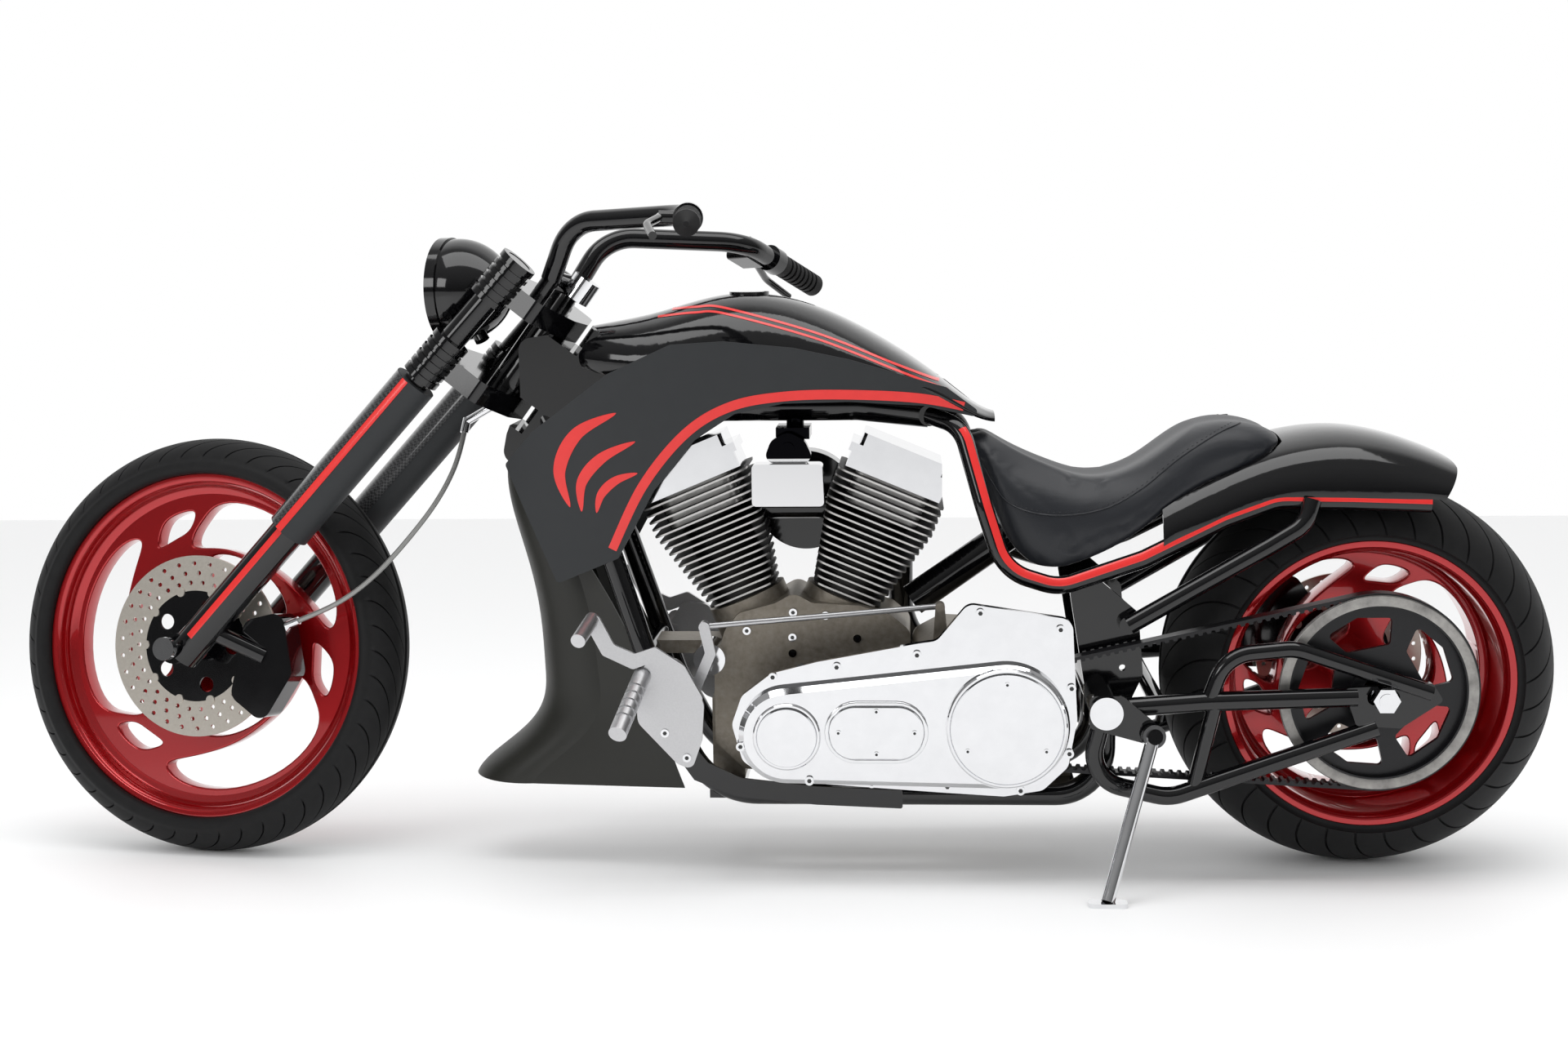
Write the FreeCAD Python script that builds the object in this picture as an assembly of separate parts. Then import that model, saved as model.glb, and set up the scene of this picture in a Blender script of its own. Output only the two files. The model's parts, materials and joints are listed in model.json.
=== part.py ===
import FreeCAD, Part
import math
import os

# A long, low V-twin chopper leaning on its side stand, its handlebar turned to the right.
# All lengths are millimetres. Every piece is modelled on the upright machine, steered straight ahead:
# x runs rearwards, y to the rider's right and z upwards, from the rear tyre's contact with the ground.
# At the end the steered pieces are turned, and the whole machine leans until it rests on the floor.

os.makedirs("parts", exist_ok=True)
V = FreeCAD.Vector

# Stance
wheelbase = 2016.0
rake_deg = 36.4
fork_kick_deg = 6.1
steer_parked_deg = 14.1
steering_lock_deg = 30.0
lean_deg = 4.0
stem_reach = 175.0
head_height_up_stem = 765.0
overrun = 4.0
running_fit = 0.05
seat_gap = 0.3
moving_gap = 6.0

# Wheels and tyres
front_tyre_radius = 370.0
front_tyre_width = 130.0
front_crown_radius = 66.0
front_rim_radius = 306.0
front_rim_width = 92.0
rear_tyre_radius = 333.0
rear_tyre_width = 300.0
rear_crown_radius = 162.0
rear_rim_radius = 242.5
rear_rim_width = 262.0
rim_lip = 5.0
rim_lip_height = 12.0
rim_barrel = 8.0
front_spoke_thickness = 34.0
rear_spoke_thickness = 60.0
window_corner = 7.0
hub_radius = 44.0
axle_radius = 12.5
front_hub_width = 120.0
rear_hub_width = 210.0

# Brakes
front_disc_radius = 160.0
front_disc_band = 62.0
disc_thickness = 6.0
front_disc_offset = 66.0
disc_carrier_hub = 52.0
disc_button_radius = 8.0
disc_button_circle = 99.0
disc_button_count = 10
disc_hole_radius = 4.0
disc_hole_count = 30
rear_disc_radius = 146.0
rear_disc_offset = 128.0

# Drive
belt_pitch = 14.0
belt_width = 28.0
belt_back = 5.0
belt_tooth = 4.5
belt_offset = 180.0
rear_pulley_radius = 156.0
rear_pulley_flange = 162.0
front_pulley_radius = 71.0
pulley_web = 14.0
pulley_clearance = 0.4

# Fork
fork_half_width = 127.0
fork_trail_back = 14.0
fork_tube_radius = 22.0
slider_radius = 30.0
cover_radius = 37.0
cover_start = 292.0
clamp_radius = 33.0
clamp_height = 86.0
lower_clamp_shift = 1.9
upper_clamp_shift = 12.4
cover_clearance = 11.0
tube_inset = 1.0
clamp_rib = 3.5
stem_radius = 13.0
neck_radius = 34.0
neck_length = 126.0
tree_thickness = 38.0

# Handlebar
bar_radius = 17.5
grip_radius = 20.5
grip_length = 132.0
grip_reach = 400.0
grip_back = 1000.0
grip_up = 675.0

# Frame
tube_radius = 19.0
rail_half_width = 128.0
rail_height = 142.0
backbone_radius = 30.0
seat_rail_half_width = 150.0
seat_rail_radius = 15.0
pivot_x = -448.0
pivot_height = 312.0
pivot_cap_radius = 27.0
pivot_shaft_radius = 11.0
swingarm_offset = 226.0
swingarm_radius = 16.0

# Engine
crank_share = 0.678
crank_height = 257.0
case_half_width = 82.0
cylinder_angle_deg = 22.5
deck_height = 226.0
fin_count = 13
fin_pitch = 12.6
fin_thickness = 3.2
fin_half_low = 62.0
fin_half_top = 96.0
fin_corner = 22.0
barrel_radius = 56.0
head_height = 52.0
rocker_height = 64.0
rocker_half_width = 72.0
v_gap = 3.0
primary_inner = 198.0
primary_plate = 7.0
primary_outer = 248.0
derby_radius = 91.0

# The head of the frame follows from the wheels and the rake
rake = math.radians(rake_deg)
stem_axis = V(math.sin(rake), 0, math.cos(rake))
stem_out = V(math.cos(rake), 0, -math.sin(rake))
fork_angle = math.radians(rake_deg + fork_kick_deg)
fork_axis = V(math.sin(fork_angle), 0, math.cos(fork_angle))
fork_back = V(math.cos(fork_angle), 0, -math.sin(fork_angle))
front_axle = V(-wheelbase, 0, front_tyre_radius)
rear_axle = V(0, 0, rear_tyre_radius)
head = front_axle + stem_axis * head_height_up_stem + stem_out * stem_reach
span = -head.x
rise = head.z
side = V(0, 1, 0)
up = V(0, 0, 1)
crank = V(-crank_share * span, 0, crank_height)


def place(share_x, share_z, y=0):
    """a point at shares of the head's reach and height"""
    return V(-share_x * span, y, share_z * rise)


def places(shares, y=0):
    return [place(share_x, share_z, y) for share_x, share_z in shares]


def mirrored(shape):
    return shape.mirror(V(0, 0, 0), side)


def both(shape):
    """a shape and its mirror image, which do not touch"""
    return Part.makeCompound([shape, mirrored(shape)])


def fused(*shapes):
    whole = shapes[0].fuse(list(shapes[1:]))
    return whole.removeSplitter()


def rod(start, end, radius):
    run = end - start
    return Part.makeCylinder(radius, run.Length, start, run)


def corner_arc(before, corner, after, bend):
    """the start, middle and end of the arc that rounds a corner"""
    a = (before - corner)
    b = (after - corner)
    shorter = min(a.Length, b.Length)
    a.normalize()
    b.normalize()
    turn = math.pi - a.getAngle(b)
    radius = min(bend, 0.48 * shorter / math.tan(turn / 2))
    setback = radius * math.tan(turn / 2)
    middle = (a + b)
    middle.normalize()
    inward = radius / math.cos(turn / 2) - radius
    return corner + a * setback, corner + middle * inward, corner + b * setback


def open_path(points, bend):
    edges = []
    start = points[0]
    for before, corner, after in zip(points, points[1:], points[2:]):
        first, middle, last = corner_arc(before, corner, after, bend)
        edges.append(Part.LineSegment(start, first).toShape())
        edges.append(Part.Arc(first, middle, last).toShape())
        start = last
    edges.append(Part.LineSegment(start, points[-1]).toShape())
    return Part.Wire(edges)


def tube(points, radius, bend):
    """a round bar along straight runs joined by tangent arcs"""
    if len(points) == 2:
        return rod(points[0], points[1], radius)
    ring = Part.Wire(Part.makeCircle(radius, points[0], points[1] - points[0]))
    return open_path(points, bend).makePipeShell([ring], True, False)


def rounded_loop(points, bend):
    """a closed outline whose corners are rounded"""
    edges = []
    count = len(points)
    arcs = [corner_arc(points[i - 1], points[i], points[(i + 1) % count], bend) for i in range(count)]
    for i in range(count):
        first, middle, last = arcs[i]
        edges.append(Part.Arc(first, middle, last).toShape())
        following = arcs[(i + 1) % count][0]
        if (following - last).Length > running_fit:
            edges.append(Part.LineSegment(last, following).toShape())
    return Part.Wire(edges)


def slab(wire, run):
    return Part.Face(wire).extrude(run)


def side_plate(points, bend, low, high):
    """a flat plate across the machine, between two side offsets"""
    level = [V(p.x, low, p.z) for p in points]
    return slab(rounded_loop(level, bend), side * (high - low))


def curve(points):
    line = Part.BSplineCurve()
    line.interpolate(points)
    return line.toShape()


def closed_curve(points):
    line = Part.BSplineCurve()
    line.interpolate(points, PeriodicFlag=True)
    return Part.Wire(line.toShape())


def ring(outer, inner, low, high, centre):
    """a flat ring round an axle, between two side offsets"""
    start = V(centre.x, low, centre.z)
    whole = Part.makeCylinder(outer, high - low, start, side)
    return whole.cut(Part.makeCylinder(inner, high - low, start, side))


def disc_of(radius, low, high, centre):
    return Part.makeCylinder(radius, high - low, V(centre.x, low, centre.z), side)


def polar(centre, radius, degrees, y=0):
    turn = math.radians(degrees)
    return V(centre.x + radius * math.cos(turn), y, centre.z + radius * math.sin(turn))


def spin(shape, centre, degrees):
    turned = shape.copy()
    turned.rotate(centre, side, -degrees)
    return turned


def revolved(points, centre):
    """a closed outline of radius and side offset, turned round an axle"""
    outline = Part.makePolygon([centre + V(r, y, 0) for r, y in points + points[:1]])
    return Part.Face(outline).revolve(centre, side, 360)


# Wheels

# The openings of the cast wheels, as shares of the rim's radius and angles, repeated three times round
window_shares = [(0.75, -111), (0.83, -102), (0.845, -70), (0.83, -37), (0.72, -25),
                 (0.585, -18), (0.57, -40), (0.575, -64), (0.64, -93)]
small_window_shares = [(0.66, 1), (0.78, -9), (0.785, -20), (0.67, -14)]
inner_window_shares = [(0.29, -102), (0.525, -98), (0.53, -64), (0.525, -28), (0.29, -30)]


def window(shares, centre, radius, thickness, offset):
    points = [polar(centre, radius * r, a, -thickness) for r, a in shares]
    hole = slab(rounded_loop(points, radius * 0.04), side * (2 * thickness))
    return spin(hole, centre, offset)


def cast_wheel(centre, radius, width, spoke, hub_width, offset):
    half = width / 2
    lip = radius - rim_lip_height
    well = lip - rim_barrel
    barrel = revolved([(radius, -half), (radius, -half + rim_lip), (lip, -half + rim_lip),
                       (lip, half - rim_lip), (radius, half - rim_lip), (radius, half),
                       (lip, half), (well, half - rim_lip_height), (well, -half + rim_lip_height),
                       (lip, -half)], centre)
    web = disc_of(well + rim_barrel / 2, -spoke / 2, spoke / 2, centre)
    for turn in range(3):
        for shares in (window_shares, small_window_shares, inner_window_shares):
            web = web.cut(window(shares, centre, radius, spoke, offset + 120 * turn))
    hub = disc_of(hub_radius, -hub_width / 2, hub_width / 2, centre)
    bore = disc_of(axle_radius + running_fit, -hub_width, hub_width, centre)
    return fused(barrel, web, hub).cut(bore)


def tyre(centre, radius, width, crown, rim_radius, rim_width):
    """a ring of rubber whose crown is an arc, seated between the rim's lips"""
    seat = rim_radius - rim_lip_height
    half = rim_width / 2 - rim_lip
    shoulder = width / 2
    drop = radius - crown
    crown_edge = 0.93 * shoulder
    crown_edge_r = drop + math.sqrt(crown ** 2 - crown_edge ** 2)
    bulge_r = (crown_edge_r + rim_radius) / 2
    over_lip = rim_radius + seat_gap
    over_half = rim_width / 2

    def at(r, y):
        return centre + V(r, y, 0)

    edges = [Part.Arc(at(crown_edge_r, -crown_edge), at(radius, 0), at(crown_edge_r, crown_edge)).toShape()]
    for sign in (1, -1):
        edges.append(Part.Arc(at(crown_edge_r, sign * crown_edge), at(bulge_r, sign * shoulder),
                              at(over_lip, sign * over_half)).toShape())
        edges.append(Part.makeLine(at(over_lip, sign * over_half), at(over_lip, sign * half)))
        edges.append(Part.makeLine(at(over_lip, sign * half), at(seat, sign * half)))
    edges.append(Part.makeLine(at(seat, half), at(seat, -half)))
    outline = Part.Wire(Part.__sortEdges__(edges))
    return Part.Face(outline).revolve(centre, side, 360)


front_rim = cast_wheel(front_axle, front_rim_radius, front_rim_width, front_spoke_thickness,
                       front_hub_width, 0)
front_tyre = tyre(front_axle, front_tyre_radius, front_tyre_width, front_crown_radius,
                  front_rim_radius, front_rim_width)
rear_rim = cast_wheel(rear_axle, rear_rim_radius, rear_rim_width, rear_spoke_thickness,
                      rear_hub_width, -35)
rear_tyre = tyre(rear_axle, rear_tyre_radius, rear_tyre_width, rear_crown_radius,
                 rear_rim_radius, rear_rim_width)


# Discs, each a drilled band on a carrier with round buttons

def brake_disc(centre, radius, low, hub_face):
    high = low + disc_thickness
    share = radius / front_disc_radius
    band = ring(radius, radius - front_disc_band * share, low, high, centre)
    carrier = ring(disc_button_circle * share, hub_radius * 0.6, low, high, centre)
    for turn in range(5):
        hole = polar(centre, disc_button_circle * share * 0.72, 72 * turn, 0)
        carrier = carrier.cut(disc_of(disc_button_radius * 1.7 * share, low, high, V(hole.x, 0, hole.z)))
    button = disc_of(disc_button_radius * share, low - disc_thickness / 3, high + disc_thickness / 3,
                     polar(centre, disc_button_circle * share, 0, 0))
    pieces = [band, carrier]
    pieces += [spin(button, centre, 360 / disc_button_count * turn) for turn in range(disc_button_count)]
    reach = min(low, hub_face)
    boss = ring(disc_carrier_hub * share, hub_radius * 0.6, reach, max(high, hub_face), centre)
    return fused(boss, *pieces)


front_disc = brake_disc(front_axle, front_disc_radius, -front_disc_offset - disc_thickness,
                        -front_hub_width / 2)
rear_disc = brake_disc(rear_axle, rear_disc_radius, rear_disc_offset, rear_hub_width / 2)


# The toothed belt and its two pulleys

def round_loop(big, big_radius, small, small_radius):
    """the closed outline round two circles, of which the bigger lies behind"""
    run = big - small
    lean_in = math.asin((big_radius - small_radius) / run.Length)
    along = math.atan2(run.z, run.x)
    top_turn = math.degrees(along + math.pi / 2 + lean_in)
    low_turn = math.degrees(along - math.pi / 2 - lean_in)
    tops = [polar(small, small_radius, top_turn), polar(big, big_radius, top_turn)]
    lows = [polar(small, small_radius, low_turn), polar(big, big_radius, low_turn)]
    nose = polar(small, small_radius, math.degrees(along) + 180)
    tail = polar(big, big_radius, math.degrees(along))
    return Part.Wire([Part.makeLine(tops[0], tops[1]), Part.Arc(tops[1], tail, lows[1]).toShape(),
                      Part.makeLine(lows[1], lows[0]), Part.Arc(lows[0], nose, tops[0]).toShape()])


def belt_loop(offset):
    """the outline round both pulleys, at a distance outside their lands"""
    return round_loop(rear_axle, rear_pulley_radius + offset, sprocket, front_pulley_radius + offset)


sprocket = V(-0.428 * span, 0, 0.321 * rise)


def belt():
    outer = belt_loop(belt_tooth + belt_back)
    inner = belt_loop(belt_tooth)
    low = V(0, -belt_offset - belt_width / 2, 0)
    strip = slab(outer, side * belt_width).cut(slab(inner, side * belt_width))
    land = belt_loop(belt_tooth)
    count = round(land.Length / belt_pitch)
    root = belt_pitch * 0.32
    tip = belt_pitch * 0.2
    teeth = []
    for i in range(count):
        middle, heading = land_point(land, (i + 0.5) / count)
        inward = heading.cross(side)
        if inward.dot(belt_centre() - middle) < 0:
            inward = inward * -1
        outward = inward * -1
        points = [middle + heading * root + outward * (belt_back / 2), middle + heading * root,
                  middle + heading * tip + inward * (belt_tooth - pulley_clearance),
                  middle - heading * tip + inward * (belt_tooth - pulley_clearance),
                  middle - heading * root, middle - heading * root + outward * (belt_back / 2)]
        teeth.append(Part.Face(Part.makePolygon(points + points[:1])).extrude(side * belt_width))
    loop = strip.fuse(teeth)
    loop.translate(low)
    return loop.removeSplitter()


def belt_centre():
    return (rear_axle + sprocket) * 0.5


def land_point(wire, share):
    """the point and heading at a share of a wire's length"""
    left = share * wire.Length
    for edge in wire.OrderedEdges:
        if left <= edge.Length:
            at = edge.getParameterByLength(left)
            heading = edge.tangentAt(at)
            return edge.valueAt(at), heading
        left -= edge.Length
    return wire.Vertexes[0].Point, V(1, 0, 0)


def rear_pulley_piece():
    low = -belt_offset - belt_width / 2
    high = low + belt_width
    land = rear_pulley_radius
    body = ring(land, land - pulley_web, low - seat_gap, high + seat_gap, rear_axle)
    flange = ring(rear_pulley_flange, land - pulley_web, low - seat_gap - rim_lip, low - seat_gap, rear_axle)
    web = ring(land, hub_radius * 0.6, low + belt_width / 3, high - belt_width / 3, rear_axle)
    for turn in range(5):
        points = [polar(rear_axle, land * r, 72 * turn + a, low) for r, a in pulley_window_shares]
        web = web.cut(slab(rounded_loop(points, window_corner), side * belt_width))
    boss = ring(hub_radius, hub_radius * 0.6, low, -rear_hub_width / 2, rear_axle)
    return fused(body, flange, web, boss)


pulley_window_shares = [(0.52, 4), (0.8, 8), (0.82, 34), (0.8, 60), (0.52, 56)]
rear_pulley = rear_pulley_piece()
drive_belt = belt()


def front_pulley_piece():
    low = -belt_offset - belt_width / 2
    land = disc_of(front_pulley_radius, low, low + belt_width, sprocket)
    shaft = disc_of(hub_radius * 0.5, -primary_inner, low + belt_width, sprocket)
    nut = disc_of(hub_radius, low + belt_width, low + belt_width + rim_lip, sprocket)
    return fused(land, shaft, nut)


front_pulley = front_pulley_piece()

# Fork: two upside-down legs with long carbon covers

leg_foot = front_axle + fork_back * fork_trail_back


def leg_point(up_leg, y):
    point = leg_foot + fork_axis * up_leg
    return V(point.x, y, point.z)


def leg_middle(up_stem):
    """how far up the legs a place level with one on the stem is"""
    return (up_stem - (leg_foot - head).dot(stem_axis)) / fork_axis.dot(stem_axis)


def leg_piece(start, end, radius, y):
    return rod(leg_point(start, y), leg_point(end, y), radius)


tree_middle = neck_length / 2 + seat_gap + tree_thickness / 2
lower_clamp_mid = leg_middle(-tree_middle) + lower_clamp_shift
upper_clamp_mid = leg_middle(tree_middle) + upper_clamp_shift
cover_end = lower_clamp_mid - clamp_height / 2 - cover_clearance
fork_length = upper_clamp_mid + clamp_height / 2 - tube_inset
axle_clamp_radius = 27.0
axle_clamp_width = 46.0
axle_end = 168.0


def slider(sign):
    y = sign * fork_half_width
    clamp_low = sign * (fork_half_width - axle_clamp_width / 2)
    clamp_high = sign * (fork_half_width + axle_clamp_width / 2)
    clamp = disc_of(axle_clamp_radius, min(clamp_low, clamp_high), max(clamp_low, clamp_high), front_axle)
    leg = leg_piece(-slider_radius * 0.2, cover_start, slider_radius, y)
    upper = leg_piece(cover_start, fork_length, fork_tube_radius, y)
    bore = disc_of(axle_radius, -axle_end, axle_end, front_axle)
    return fused(clamp, leg, upper).cut(bore)


fork_sliders = both(slider(-1))


def cover(sign):
    y = sign * fork_half_width
    outer = leg_piece(cover_start + seat_gap, cover_end, cover_radius, y)
    return outer.cut(leg_piece(cover_start - overrun, cover_end + overrun, fork_tube_radius, y))


fork_covers = both(cover(-1))


def clamp_tube(middle, y):
    """a ribbed clamp round a fork tube"""
    start = middle - clamp_height / 2
    body = leg_piece(start, start + clamp_height, clamp_radius, y)
    pitch = clamp_height / 6
    for i in range(5):
        low = start + pitch * (i + 0.75)
        groove = leg_piece(low, low + pitch * 0.45, clamp_radius + overrun, y)
        body = body.cut(groove.cut(leg_piece(low, low + pitch * 0.45, clamp_radius - clamp_rib, y)))
    return body


def stem_point(up_stem, out=0, y=0):
    """a point along the steering axis, from the middle of the head"""
    return head + stem_axis * up_stem + stem_out * out + V(0, y, 0)


def tree(middle, up_stem, thickness):
    """a plate from the stem to the two ribbed clamps"""
    leg = leg_point(middle, 0)
    reach = -(leg - stem_point(up_stem)).dot(stem_out)
    half = fork_half_width
    points = [stem_point(up_stem, -reach - clamp_radius * 0.5, -half), stem_point(up_stem, -reach - clamp_radius, 0),
              stem_point(up_stem, -reach - clamp_radius * 0.5, half), stem_point(up_stem, neck_radius * 0.3, half),
              stem_point(up_stem, neck_radius * 1.25, neck_radius),
              stem_point(up_stem, neck_radius * 1.25, -neck_radius), stem_point(up_stem, neck_radius * 0.3, -half)]
    plate = slab(rounded_loop(points, neck_radius * 0.5), stem_axis * thickness)
    clamps = [clamp_tube(middle, sign * half) for sign in (-1, 1)]
    body = fused(plate, *clamps)
    for sign in (-1, 1):
        body = body.cut(leg_piece(0, fork_length + overrun, fork_tube_radius, sign * half))
    return body


lower_tree = tree(lower_clamp_mid, -neck_length / 2 - tree_thickness - seat_gap, tree_thickness)
stem = rod(stem_point(-neck_length / 2 - tree_thickness), stem_point(neck_length / 2 + tree_thickness),
           stem_radius)
lower_tree = lower_tree.fuse(stem).removeSplitter()
upper_tree = tree(upper_clamp_mid, neck_length / 2 + seat_gap, tree_thickness)
upper_tree = upper_tree.cut(stem)

front_axle_rod = disc_of(axle_radius, -axle_end, axle_end, front_axle)
axle_head = disc_of(axle_radius * 1.6, -axle_end - axle_radius, -axle_end, front_axle)
spacer_end = fork_half_width - axle_clamp_width / 2
front_spacers = [ring(axle_radius * 1.5, axle_radius, -spacer_end,
                      -front_disc_offset - disc_thickness * 4 / 3 - seat_gap, front_axle),
                 ring(axle_radius * 1.5, axle_radius, front_hub_width / 2 + seat_gap, spacer_end, front_axle)]
front_axle_rod = fused(front_axle_rod, axle_head, mirrored(axle_head), *front_spacers).cut(fork_sliders)

# Headlamp: a bullet shell with a proud rim and a domed lens
lamp_radius = 88.0
lamp_depth = 108.0
lamp_up = 118.0
lamp_out = 142.0
lamp_rim = 9.0
lamp_lens_dome = 14.0
lamp_centre = head + V(-lamp_out, 0, lamp_up)


def lamp_outline(points):
    outline = Part.Wire(Part.__sortEdges__(points))
    return Part.Face(outline).revolve(lamp_centre, V(1, 0, 0), 360)


def lamp_shell():
    c = lamp_centre
    edge = c + V(0, 0, lamp_radius)
    shoulder = c + V(lamp_depth * 0.55, 0, lamp_radius * 0.86)
    tail = c + V(lamp_depth, 0, 0)
    middle = c + V(lamp_depth * 0.86, 0, lamp_radius * 0.5)
    return lamp_outline([Part.makeLine(c, edge), curve([edge, shoulder, middle, tail]), Part.makeLine(tail, c)])


def lamp_lens():
    """a shallow dome of glass set in the bezel"""
    c = lamp_centre
    radius = lamp_radius - lamp_rim
    ball = (radius ** 2 + lamp_lens_dome ** 2) / (2 * lamp_lens_dome)
    half_turn = math.asin(radius / ball) / 2
    edge = c + V(0, 0, radius)
    middle = c + V(ball - lamp_lens_dome - ball * math.cos(half_turn), 0, ball * math.sin(half_turn))
    tip = c - V(lamp_lens_dome, 0, 0)
    return lamp_outline([Part.makeLine(c, edge), Part.Arc(edge, middle, tip).toShape(), Part.makeLine(tip, c)])


def lamp_bezel():
    start = lamp_centre - V(lamp_rim * 2, 0, 0)
    whole = Part.makeCylinder(lamp_radius + lamp_rim / 3, lamp_rim * 2, start, V(1, 0, 0))
    return whole.cut(Part.makeCylinder(lamp_radius - lamp_rim, lamp_rim * 2, start, V(1, 0, 0)))


headlight_lens = lamp_lens()
headlight = fused(lamp_shell(), lamp_bezel()).cut(headlight_lens)
lamp_bracket = rod(lamp_centre + V(lamp_depth * 0.4, 0, -lamp_radius * 0.8),
                   leg_point(lower_clamp_mid, 0) + stem_axis * (clamp_height * 0.6), stem_radius)
headlight = headlight.fuse(lamp_bracket).cut(upper_tree).cut(lower_tree).removeSplitter()

# Handlebar: a swept bar from two risers on the upper tree
bar_bend = 90.0
riser_radius = 15.0
riser_half_width = 60.0
riser_top = 36.0
riser_ahead = 26.0


def axle_place(back, upward, y=0):
    return front_axle + V(back, y, upward)


grip_direction = V(0.275, -0.94, -0.2)
grip_direction.normalize()
tree_top = neck_length / 2 + seat_gap + tree_thickness


def bar_side(sign):
    grip_end = axle_place(grip_back, grip_up, sign * grip_reach)
    along = V(grip_direction.x, -sign * grip_direction.y, grip_direction.z)
    knee = grip_end - along * (grip_reach * 0.62)
    foot = stem_point(tree_top + riser_top, -riser_ahead, sign * riser_half_width)
    rise_point = axle_place(grip_back * 0.7, grip_up * 1.08, sign * riser_half_width * 1.5)
    return [foot, rise_point, knee, grip_end - along * grip_length]


def grip_ends(sign):
    grip_end = axle_place(grip_back, grip_up, sign * grip_reach)
    along = V(grip_direction.x, -sign * grip_direction.y, grip_direction.z)
    return grip_end - along * grip_length, grip_end, along


left_path = bar_side(-1)
right_path = bar_side(1)
handlebar = fused(tube(left_path, bar_radius, bar_bend), tube(right_path, bar_radius, bar_bend),
                  rod(left_path[0], right_path[0], bar_radius),
                  *[rod(stem_point(tree_top, -riser_ahead, sign * riser_half_width), left_path[0] if sign < 0 else right_path[0],
                        riser_radius) for sign in (-1, 1)])


def grip(sign):
    start, end, along = grip_ends(sign)
    body = rod(start + along * seat_gap, end, grip_radius)
    rib = grip_radius * 0.18
    pitch = grip_length / 9
    for i in range(7):
        low = start + along * (pitch * (i + 1.2))
        groove = rod(low, low + along * (pitch * 0.4), grip_radius + overrun)
        body = body.cut(groove.cut(rod(low, low + along * (pitch * 0.4), grip_radius - rib)))
    cone = Part.makeCone(grip_radius, grip_radius * 0.2, grip_radius * 1.1, end, along)
    return fused(body, cone)


grips = Part.makeCompound([grip(-1), grip(1)])

# Frame: a backbone, a cradle of two tubes and the rails under the seat
cross_plate = 56.0
cross_plate_thickness = 18.0
pivot_plate = 12.0
pivot_plate_offset = 150.0
pivot_boss_radius = 25.0
gusset_hole_radius = 5.5
frame_bend = 130.0
stand_plate = 8.0
strut_offset = 174.0
strut_radius = 15.0

neck = rod(stem_point(-neck_length / 2), stem_point(neck_length / 2), neck_radius)
neck_bore = rod(stem_point(-neck_length), stem_point(neck_length), stem_radius + running_fit)
backbone_shares = [(0.99, 0.965), (0.93, 0.925), (0.82, 0.9), (0.6, 0.9), (0.515, 0.885)]
backbone = tube(places(backbone_shares), backbone_radius * 0.85, frame_bend)
backbone_end = places(backbone_shares)[-1]
yoke = rod(backbone_end - side * (seat_rail_half_width * 0.38), backbone_end + side * (seat_rail_half_width * 0.38),
           seat_rail_radius * 1.2)
mount_shares = [(0.85, 0.90, 0.975), (0.62, 0.90, 0.965)]
tank_mounts = [rod(place(a, low), place(a, high), backbone_radius * 0.7) for a, low, high in mount_shares]
frame_backbone = fused(neck, backbone, yoke, *tank_mounts).cut(neck_bore)


def cradle_side(sign):
    y = sign * rail_half_width
    points = [place(0.995, 0.935, sign * neck_radius * 0.8), place(0.905, 0.68, y * 0.86),
              place(0.835, 0.34, y), V(-0.775 * span, y, rail_height), V(pivot_x * 0.98, y, rail_height),
              V(pivot_x * 0.98, y, pivot_height)]
    return tube(points, tube_radius, frame_bend)


def pivot_plate_piece(sign):
    low = sign * pivot_plate_offset
    face = [V(pivot_x - pivot_boss_radius * 1.1, 0, pivot_height - pivot_boss_radius * 1.6),
            V(pivot_x + pivot_boss_radius * 1.3, 0, pivot_height - pivot_boss_radius * 1.6),
            place(0.266, 0.40), place(0.272, 0.52), place(0.330, 0.60), place(0.352, 0.56),
            V(pivot_x - pivot_boss_radius * 1.1, 0, pivot_height + pivot_boss_radius)]
    plate = side_plate(face, pivot_boss_radius * 0.6, min(low, low - sign * pivot_plate),
                       max(low, low - sign * pivot_plate))
    hole = place(0.290, 0.414)
    plate = plate.cut(disc_of(gusset_hole_radius, -span, span, hole))
    return plate


cradle_pieces = [cradle_side(-1), cradle_side(1)]
for along, level in ((0.76, rail_height), (0.36, rail_height)):
    at = V(-along * span, 0, level)
    cradle_pieces.append(Part.makeBox(cross_plate, 2 * rail_half_width, cross_plate_thickness,
                                      at - V(cross_plate / 2, rail_half_width, cross_plate_thickness / 2)))
front_cross = place(0.853, 0.43)
skid_shares = [(0.850, 0.315), (0.797, 0.192), (0.748, 0.160), (0.651, 0.144), (0.548, 0.137), (0.548, 0.173),
               (0.651, 0.180), (0.740, 0.196), (0.780, 0.226), (0.834, 0.335)]
skid_face = rail_half_width + tube_radius + overrun / 4
cradle_pieces.append(rod(front_cross - side * rail_half_width, front_cross + side * rail_half_width,
                         tube_radius * 0.7))
cradle_pieces += [pivot_plate_piece(sign) for sign in (-1, 1)]
skid = side_plate(places(skid_shares), overrun, -skid_face, -skid_face + overrun)
cradle_pieces += [skid, mirrored(skid)]
pivot_centre = V(pivot_x, 0, pivot_height)
tree_sweep = rod(stem_point(-neck_length * 2), stem_point(-neck_length / 2 + moving_gap), neck_radius * 3)
pivot_tube = ring(pivot_boss_radius, pivot_shaft_radius, -pivot_plate_offset, pivot_plate_offset, pivot_centre)
frame_cradle = fused(*cradle_pieces, pivot_tube).cut(frame_backbone).cut(tree_sweep)
frame_cradle = frame_cradle.cut(disc_of(pivot_shaft_radius, -span, span, pivot_centre))

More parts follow.
